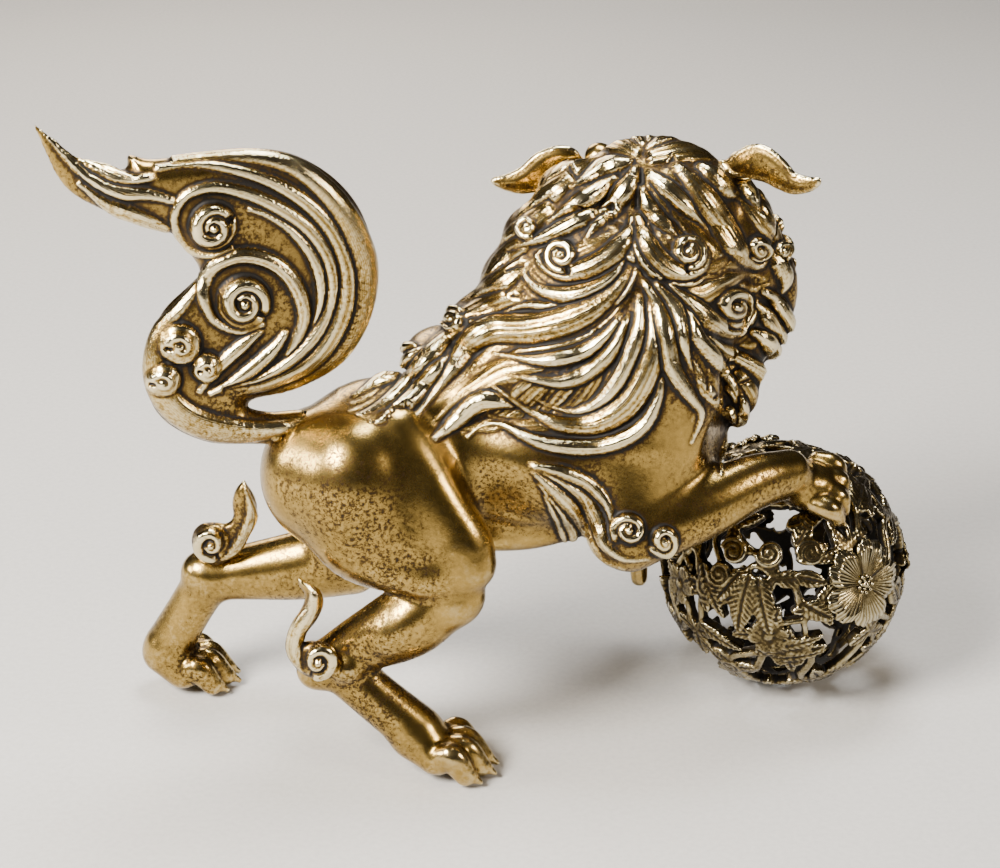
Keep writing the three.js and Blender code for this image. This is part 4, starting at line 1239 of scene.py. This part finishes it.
def make_ears():
    """Leaf-shaped ears on short round roots."""
    for name, outline, middle, knob in (
        ("left_ear", LEFT_EAR, 27.0, (39, 31, 227)),
        ("right_ear", RIGHT_EAR, right_ear_middle, (94, 14, 229)),
    ):
        spots = np.array([off_drawing(a, b, depth_at(middle, a)) for a, b in outline])
        spots = np.vstack([spots, [knob]])
        clay = inflated(outline, spots.min(0) - 8, spots.max(0) + 8, middle, 3.2, 5.0, 0.8)
        # the knob at its root runs into the skull
        inwards = np.array(knob) + (HEAD_CENTRE + (0, 0, 20) - knob) * 0.35
        clay.add(limb([(*knob, 4.6, 4.6), (*inwards, 5, 5)], count=3), LOOSE, 2.5)
        clay.add(ellipsoid(knob, (5.6, 5.6, 5.2)), LOOSE, 2.5)
        make_loose(name, clay, draw_ear(outline))


def make_tufts():
    """Hair flames at both hocks and at the left elbow. The right elbow's is part of the dog's surface."""
    thick, edge = 4.0, 5.0
    for name, outline, middle, lock, curl, radius, start, way in (
        (
            "left_hock_tuft",
            LEFT_HOCK_FLAME,
            -3.0,
            (5.5, 3, [(-114, -50), (-106, -46), (-101, -38), (-99.5, -31), (-102.5, -19)]),
            (-115.5, -43.6),
            7.2,
            -60,
            -1,
        ),
        (
            "right_hock_tuft",
            RIGHT_HOCK_FLAME,
            -62.0,
            (6.5, 3, [(-76, -96), (-82, -88), (-81, -79), (-75.5, -70), (-75, -63), (-80, -57.5)]),
            (-72.6, -90.3),
            7.2,
            -120,
            1,
        ),
    ):
        spots = np.array([off_drawing(a, b, middle) for a, b in outline])
        clay = inflated(outline, spots.min(0) - 8, spots.max(0) + 8, middle, thick, edge, 0.8)
        make_loose(name, clay, draw_flame(outline, lock, curl, radius, start, way))
    # the left elbow's flame is drawn in plain side view
    clay = inflated(LEFT_ELBOW_FLAME, (0, 40, 84), (66, 63, 132), 51.5, thick, edge, 0.8, from_side)
    lock = (7, 3, [(50, 97), (42, 98), (34, 104), (24, 113), (12, 122)])
    sheet = draw_flame(LEFT_ELBOW_FLAME, lock, (49.5, 101.5), 7.0, -60, 1)
    make_loose("left_elbow_tuft", clay, sheet, from_side)


# ---------------------------------------------------------------- the pierced ball
# The wall lies between these two radii. Leaves and stems stand up from the outer one.
INNER_RADIUS = 46.8
SHELL_RADIUS = 49.8


def unit(v):
    v = np.asarray(v, float)
    return v / np.linalg.norm(v)


def frame_at(direction, turn=0.0):
    """Two tangents and the normal of the ball in a direction."""
    n = unit(direction)
    helper = np.array([0, 0, 1.0]) if abs(n[2]) < 0.9 else np.array([1.0, 0, 0])
    e = unit(np.cross(helper, n))
    f = np.cross(n, e)
    return cos(turn) * e + sin(turn) * f, cos(turn) * f - sin(turn) * e, n


class Openwork:
    """The ball's wall: where there is metal, and how high it stands."""

    def __init__(self, directions):
        self.d = directions.astype(np.float32)
        self.gap = np.full(len(directions), 9.0, np.float32)
        self.height = np.full(len(directions), -1.0, np.float32)

    def near(self, direction, reach):
        """The directions within reach of a place, and how far they lie from it along its tangents."""
        e, f, n = direction
        facing = self.d @ n.astype(np.float32)
        mine = np.nonzero(facing > cos(reach / SHELL_RADIUS))[0]
        angle = np.arccos(np.clip(facing[mine], -1, 1))
        u, v = self.d[mine] @ e, self.d[mine] @ f
        k = SHELL_RADIUS * angle / (np.sqrt(u * u + v * v) + 1e-6)
        return mine, u * k, v * k

    def lay(self, mine, gap, height):
        """Adds metal where gap is negative, standing this high."""
        self.gap[mine] = np.minimum(self.gap[mine], gap)
        on_top = gap < 0.15
        higher = np.where(on_top, height, -1)
        self.height[mine] = np.maximum(self.height[mine], higher)

    def leaf(self, direction, turn, length, width, lift=0.4, bend=0.0):
        """A pointed leaf with a sunk midrib and side veins, root at the direction."""
        mine, u, v = self.near(frame_at(direction, turn), length * 1.15)
        s = np.clip(u / length, 0, 1)
        v = v - bend * length * s * s
        half = width / 2 * np.sin(pi * s**0.75) ** 0.8 + 0.35
        half = half * (1 + 0.10 * np.abs(np.sin(s * 19)))
        gap = np.abs(v) - half
        gap = np.where((u < -0.5) | (u > length), np.maximum(gap, np.maximum(-u, u - length)), gap)
        across = np.clip(np.abs(v) / (half + 0.01), 0, 1)
        body = lift + 1.1 * np.sqrt(1 - 0.85 * across**2) + 0.7 * s * s
        vein = 0.32 * np.cos((u - np.abs(v) * 0.9) * 2 * pi / 2.3) * smooth(0.1, 0.4, across)
        midrib = 0.8 * np.exp(-((v / 0.55) ** 2))
        self.lay(mine, gap, body + vein - midrib)

    def stem(self, first, last, thick, lift=0.2, wave=0.08):
        """A round stem from one direction to another, slightly wavy."""
        a, b = unit(first), unit(last)
        steps, sideways = np.linspace(0, 1, 9), np.cross(a, b) * wave
        path = [unit(a + (b - a) * t + sideways * sin(2 * pi * t)) for t in steps]
        for p, q in zip(path[:-1], path[1:]):
            middle = unit(p + q)
            reach = np.linalg.norm(q - p) * SHELL_RADIUS / 2 + thick + 1
            mine, u, v = self.near((unit(q - p), np.cross(middle, unit(q - p)), middle), reach)
            half = np.linalg.norm(q - p) * SHELL_RADIUS / 2
            along = np.clip(np.abs(u) - half, 0, None)
            away = np.sqrt(along**2 + v * v)
            dome = np.sqrt(np.clip(1 - (away / thick) ** 2, 0, 1))
            self.lay(mine, away - thick, lift + 1.3 * dome)

    def flower(self, direction, turn, radius, petals=5, lift=0.6):
        """A small open flower with a round heart."""
        mine, u, v = self.near(frame_at(direction, turn), radius * 1.1)
        rho, angle = np.sqrt(u * u + v * v), np.arctan2(v, u)
        lobe = np.abs(np.cos(angle * petals / 2))
        edge = radius * (0.62 + 0.38 * lobe**0.6)
        s = np.clip(rho / edge, 0, 1)
        body = lift + 0.5 + 1.2 * s * lobe**0.5 + 0.2 * np.cos(angle * petals * 6) * smooth(0.3, 0.8, s)
        body = body + 1.2 * np.sqrt(np.clip(1 - (rho / (radius * 0.24)) ** 2, 0, 1))
        self.lay(mine, rho - edge, body)

    def scroll(self, direction, turn, radius, way=1, lift=0.5):
        """A curled tendril."""
        mine, u, v = self.near(frame_at(direction, turn), radius * 1.2)
        rho, angle = np.sqrt(u * u + v * v) + 1e-3, np.arctan2(v, u) * way
        best = np.full(len(mine), 9.0)
        for k in range(3):
            t = (angle / (2 * pi) + 0.5 + k) / 2.2
            r = radius * (0.95 - 0.85 * t)
            best = np.where(t <= 1.0, np.minimum(best, np.abs(rho - r)), best)
        best = np.minimum(best, rho - 0.3)
        thick = 1.25
        dome = np.sqrt(np.clip(1 - (best / thick) ** 2, 0, 1))
        self.lay(mine, best - thick, lift + 1.5 * dome)


# From the ball's middle towards the eye of the drawing.
BALL_TO_EYE = (-118.0, -926.3, 491.0)


def seen_on_ball(right, up):
    """The direction of the ball's surface seen this far right and up from its middle on the drawing."""
    eye = unit(BALL_TO_EYE)
    across = unit(np.cross(eye, (0, 0, 1.0))) * -1
    upward = np.cross(eye, across)
    return across * right + upward * up + eye * sqrt(max(0.0, 1 - right**2 - up**2))


# Where the blossoms are riveted, as directions from the ball's middle.
BLOSSOM_PLACES = [(29, -42, 12), (-15, 30, 40), (50, 14, -6), (-12, 50, 0), (32, 42, -10)]


def spread_knots(count, rng):
    """Directions spread evenly over the ball along a spiral, each then pushed a little aside."""
    knots = []
    golden = pi * (3 - sqrt(5))
    for k in range(count):
        z = 1 - 2 * (k + 0.5) / count
        flat = sqrt(1 - z * z)
        d = np.array([cos(k * golden) * flat, sin(k * golden) * flat, z])
        knots.append(unit(d + rng.normal(0, 0.09, 3)))
    return np.array(knots)


def weave_ball(directions):
    """Lays stems, leaves, small flowers and tendrils over the ball."""
    work = Openwork(directions)
    rng = np.random.default_rng(11)
    knots = spread_knots(50, rng)
    closeness = knots @ knots.T
    for k, knot in enumerate(knots):
        for other in np.argsort(-closeness[k])[1:5]:
            if other > k or rng.random() < 0.5:
                work.stem(knot, knots[other], rng.uniform(1.3, 1.8), 0.0, rng.uniform(-0.25, 0.25))
    for knot in knots:
        kind = rng.random()
        turn = rng.uniform(0, 2 * pi)
        if kind < 0.22:
            work.flower(knot, turn, rng.uniform(6.5, 8.5), 5 if rng.random() < 0.6 else 6)
        elif kind < 0.36:
            work.scroll(knot, turn, rng.uniform(5, 6.5), 1 if rng.random() < 0.5 else -1)
        leaves = rng.integers(3, 5)
        for n in range(leaves):
            way = turn + n * 2 * pi / leaves + rng.uniform(-0.35, 0.35)
            length, width = rng.uniform(10, 15), rng.uniform(4.5, 6.5)
            work.leaf(knot, way, length, width, 0.2 + 0.4 * rng.random(), rng.uniform(-0.2, 0.2))
    # the big three-lobed leaf, fans and long blades low on the near side
    for right, up, turn, length, width in (
        (-0.24, -0.10, -1.75, 26, 11),
        (-0.18, -0.12, -1.35, 25, 9),
        (-0.30, -0.08, -2.2, 18, 7),
        (-0.62, -0.04, -1.0, 24, 6),
        (-0.10, -0.68, 0.15, 24, 5),
        (-0.05, -0.76, 0.05, 22, 4.5),
        (-0.62, -0.52, -0.5, 20, 5),
        (0.12, 0.02, 0.4, 14, 7),
        (0.10, 0.12, 1.0, 14, 7),
        (0.12, -0.10, -0.3, 13, 6),
        (0.20, -0.32, -0.6, 14, 8),
        (0.56, 0.44, 0.5, 16, 9),
        (0.02, 0.28, 0.3, 16, 7),
    ):
        work.leaf(seen_on_ball(right, up), turn, length, width, 1.0, 0.06)
    for right, up, way in ((-0.10, 0.06, 1), (-0.38, 0.06, -1), (-0.48, -0.12, 1), (0.22, 0.08, -1)):
        work.scroll(seen_on_ball(right, up), 0.0, 5.5, way, 1.0)
    # round bosses: under each blossom, under the ball where it stands, and under the dog's paw
    bosses = [(place, 7, 0.4) for place in BLOSSOM_PLACES]
    bosses += [((0, 0, -1), 9, 3.0), ((0.12, -0.45, 0.85), 9, 0.6)]
    for place, radius, height in bosses:
        mine, u, v = work.near(frame_at(place), radius + 5)
        work.lay(mine, np.sqrt(u * u + v * v) - radius, np.full(len(mine), height))
    return work


def plain_look(dark):
    """The colour layers of a surface without hair."""
    zero = np.zeros(len(dark))
    return {"hollow": dark, "strand": zero, "hair": zero}


def make_ball():
    """The pierced ball, painted dark inside as painted shade, and in its low places as oxide and painted
    shade.
    """
    reach = BALL_RADIUS + 2
    clay = Clay(BALL_CENTRE - reach, BALL_CENTRE + reach, 0.66)
    _, x, y, z = clay.window(clay.low, clay.low + np.array(clay.shape) * clay.voxel)
    x, y, z = x - BALL_CENTRE[0], y - BALL_CENTRE[1], z - BALL_CENTRE[2]
    r = np.sqrt(x * x + y * y + z * z)
    shell = np.nonzero((r > INNER_RADIUS - 2) & (r < BALL_RADIUS + 1.5))
    radius = r[shell]
    d = np.stack([x[shell[0], 0, 0], y[0, shell[1], 0], z[0, 0, shell[2]]], 1) / radius[:, None]
    work = weave_ball(d)
    outer = radius - (SHELL_RADIUS + work.height)
    wall = np.maximum(np.maximum(outer, INNER_RADIUS - radius), work.gap * 0.8)
    # nothing of it reaches below the floor
    above_floor = z[0, 0, shell[2]] + BALL_CENTRE[2]
    clay.field[:] = 3.0
    clay.field[shell] = np.maximum(wall, 0.05 - above_floor)
    points, quads, _ = clay.surface()
    points = relax(points, quads, 1, 0.5)
    near, broad = curvature(points, quads)
    out = np.linalg.norm(points - BALL_CENTRE, axis=1)
    # the inside of the wall is painted darker as painted shade; hollows are oxide and painted shade, ridges
    # rubbed metal and painted highlight
    deep = 1 - smooth(INNER_RADIUS + 1.0, SHELL_RADIUS + 1.4, out)
    dark = 0.52 + np.clip(near * 1.8, -0.3, 0.3) + np.clip(broad * 0.7, -0.3, 0.4) + deep * 0.35
    piece = mesh_object("ball_fine", points, quads, plain_look(dark))
    dress(piece, BALL_METAL, "ball_bronze", "ball_casting")


def grid_faces(rows, columns, base=0):
    """Quads of a grid that closes on itself along its columns."""
    i, j = np.meshgrid(np.arange(rows - 1), np.arange(columns), indexing="ij")
    here, beside = i * columns + j, i * columns + (j + 1) % columns
    return (np.stack([here, beside, beside + columns, here + columns], -1) + base).reshape(-1, 4)


def petal_ring(e, f, n, radius):
    """Five ruffled petals, ribbed from the heart, as points, quads and how dark each point is painted:
    painted shade between the petals, under them and towards the heart, painted highlight on the ribs.
    """
    rows, columns = 26, 220
    angle = np.linspace(0, 2 * pi, columns, endpoint=False)[None]
    petal = (angle * 5 / (2 * pi)) % 1.0
    lobe = np.sin(pi * petal)
    notch = 1 - 0.08 * np.exp(-(((petal - 0.5) / 0.09) ** 2))
    edge = radius * (0.60 + 0.40 * lobe**0.42) * notch * (1 + 0.015 * np.sin(angle * 35))
    apart = smooth(0, 0.16, petal * (1 - petal) * 4)
    s = np.linspace(0.02, 1, rows)[:, None]
    rho = s * edge
    # each petal rises from the heart, laps over the next and turns down at its edge
    lift = 0.9 + 3.4 * s**1.3 - 1.5 * smooth(0.8, 1.0, s) + 2.6 * (petal - 0.5) * s * apart
    ribs = 0.17 * np.cos(angle * 55) * smooth(0.25, 0.6, s)
    ruffle = 0.45 * np.sin(angle * 20 + 0.7) * smooth(0.65, 1.0, s)
    top, under = lift + ribs + ruffle, lift + ruffle - 1.3 - 0.4 * (1 - s)
    points = []
    for height, order in ((top, 1), (under, -1)):
        level = (SHELL_RADIUS + 0.6 + height - rho**2 / (2 * SHELL_RADIUS))[::order]
        u, v = rho[::order] * np.cos(angle), rho[::order] * np.sin(angle)
        points.append((u[..., None] * e + v[..., None] * f + level[..., None] * n).reshape(-1, 3))
    # the last quads join the under side's heart to the top's
    faces = grid_faces(2 * rows, columns)
    last = (2 * rows - 1) * columns
    closing = grid_faces(2, columns)
    closing = np.where(closing >= columns, closing - columns + last, closing)[:, ::-1]
    # painted shade towards the heart and where each petal laps over the next, painted highlight on the rib
    # crests
    dark = 0.52 - 0.3 * s + 0.5 * (1 - apart) * smooth(0.1, 0.4, s) - 0.9 * ribs
    # the under side of the petals is painted dark as painted shade
    painted_shade_under = np.repeat(0.87 - 0.3 * s.ravel()[::-1], columns)
    points = np.vstack(points) + BALL_CENTRE
    return points, np.vstack([faces, closing])[:, ::-1], np.r_[dark.ravel(), painted_shade_under]


def make_blossom(name, place, turn, radius):
    """A ring of petals round a heart of small beads."""
    e, f, n = frame_at(place, turn)
    points, faces, dark = petal_ring(e, f, n, radius)
    beads = [(0.0, 0.0, 1.5)]
    beads += [(3.4, k * 2 * pi / 9, 0.85) for k in range(9)]
    beads += [(1.9, k * 2 * pi / 5, 0.7) for k in range(5)]
    rows, columns = 9, 14
    theta = np.linspace(0.02, pi - 0.02, rows)[:, None]
    phi = np.linspace(0, 2 * pi, columns, endpoint=False)[None]
    bead = (np.sin(theta) * np.cos(phi))[..., None] * e + (np.sin(theta) * np.sin(phi))[..., None] * f
    bead = (bead + (np.cos(theta) + 0 * phi)[..., None] * n).reshape(-1, 3)
    for away, at, size in beads:
        centre = BALL_CENTRE + cos(at) * away * e + sin(at) * away * f + (SHELL_RADIUS + 2.3) * n
        faces = np.vstack([faces, grid_faces(rows, columns, len(points))])
        points = np.vstack([points, bead * size + centre])
        # the beads are painted pale, as rubbed metal and painted highlight
        dark = np.r_[dark, np.full(len(bead), 0.25)]
    piece = mesh_object(name + "_fine", points, faces, plain_look(dark))
    dress(piece, BALL_METAL, "ball_bronze", name)


def make_blossoms():
    for k, place in enumerate(BLOSSOM_PLACES):
        make_blossom("ball_blossom_%d" % (k + 1), place, 0.5 + 1.3 * k, 19.0 if k == 0 else 15.5)


# ---------------------------------------------------------------- fangs, eyes, tongue and pin
def make_face_parts():
    """Fangs, eyes and tongue."""
    for name, side in (("left", 1), ("right", -1)):
        middle = on_head((42, side * 12, -10))
        clay = Clay(middle - 9, middle + 9, 0.4)
        fang = [(41, side * 12, -5, 2.3, 2.3), (43, side * 12.3, -10, 1.8, 1.8)]
        fang.append((43, side * 12.6, -15, 0.7, 0.7))
        clay.add(head_limb(fang), LOOSE)
        make_loose(name + "_fang", clay)
        middle = on_head((36, side * 12, 9))
        clay = Clay(middle - 8, middle + 8, 0.6)
        clay.add(ellipsoid(middle, (5.2, 5.2, 5.2)), LOOSE)
        make_loose(name + "_eye", clay, finish=INLAY, slot="eye_inlay")
    middle = on_head((36, 0, -13))
    clay = Clay(middle - 22, middle + 22, 0.7)
    tongue = [(22, 0, -14, 8, 2.6), (34, 0, -12.6, 9, 2.8), (45, 0, -13, 7.5, 2.4), (50, 0, -15.5, 4.5, 1.8)]
    groove = [(24, 0, -10.6, 0.7, 0.7), (36, 0, -9.8, 0.8, 0.8), (48, 0, -12, 0.7, 0.7)]
    clay.add(head_limb(tongue), LOOSE)
    clay.cut_away(head_limb(groove), 1.5)
    make_loose("tongue", clay)


def make_tail_pin():
    """The pin that crosses the tail's root, burred over at both ends."""
    clay = Clay((-92, -52, 135), (-78, -22, 147), 0.5)
    ends = [np.array([-85.0, y, 141.0]) for y in (-45, -29)]
    clay.add(limb([(*end, 1.6, 1.6) for end in ends], (1, 0, 0), 3), LOOSE)
    for end in ends:
        clay.add(ellipsoid(end, (2.4, 1.6, 2.4)), LOOSE, 1)
    make_loose("tail_pin", clay)


set_studio()
make_dog()
tail = inflated(TAIL_OUTLINE, (-176, -72, 126), (-40, -12, 276), tail_middle, tail_thickness, 10.0)
make_loose("tail", tail, draw_tail(), casting="tail_casting")
make_ears()
make_tufts()
make_ball()
make_blossoms()
make_face_parts()
make_tail_pin()
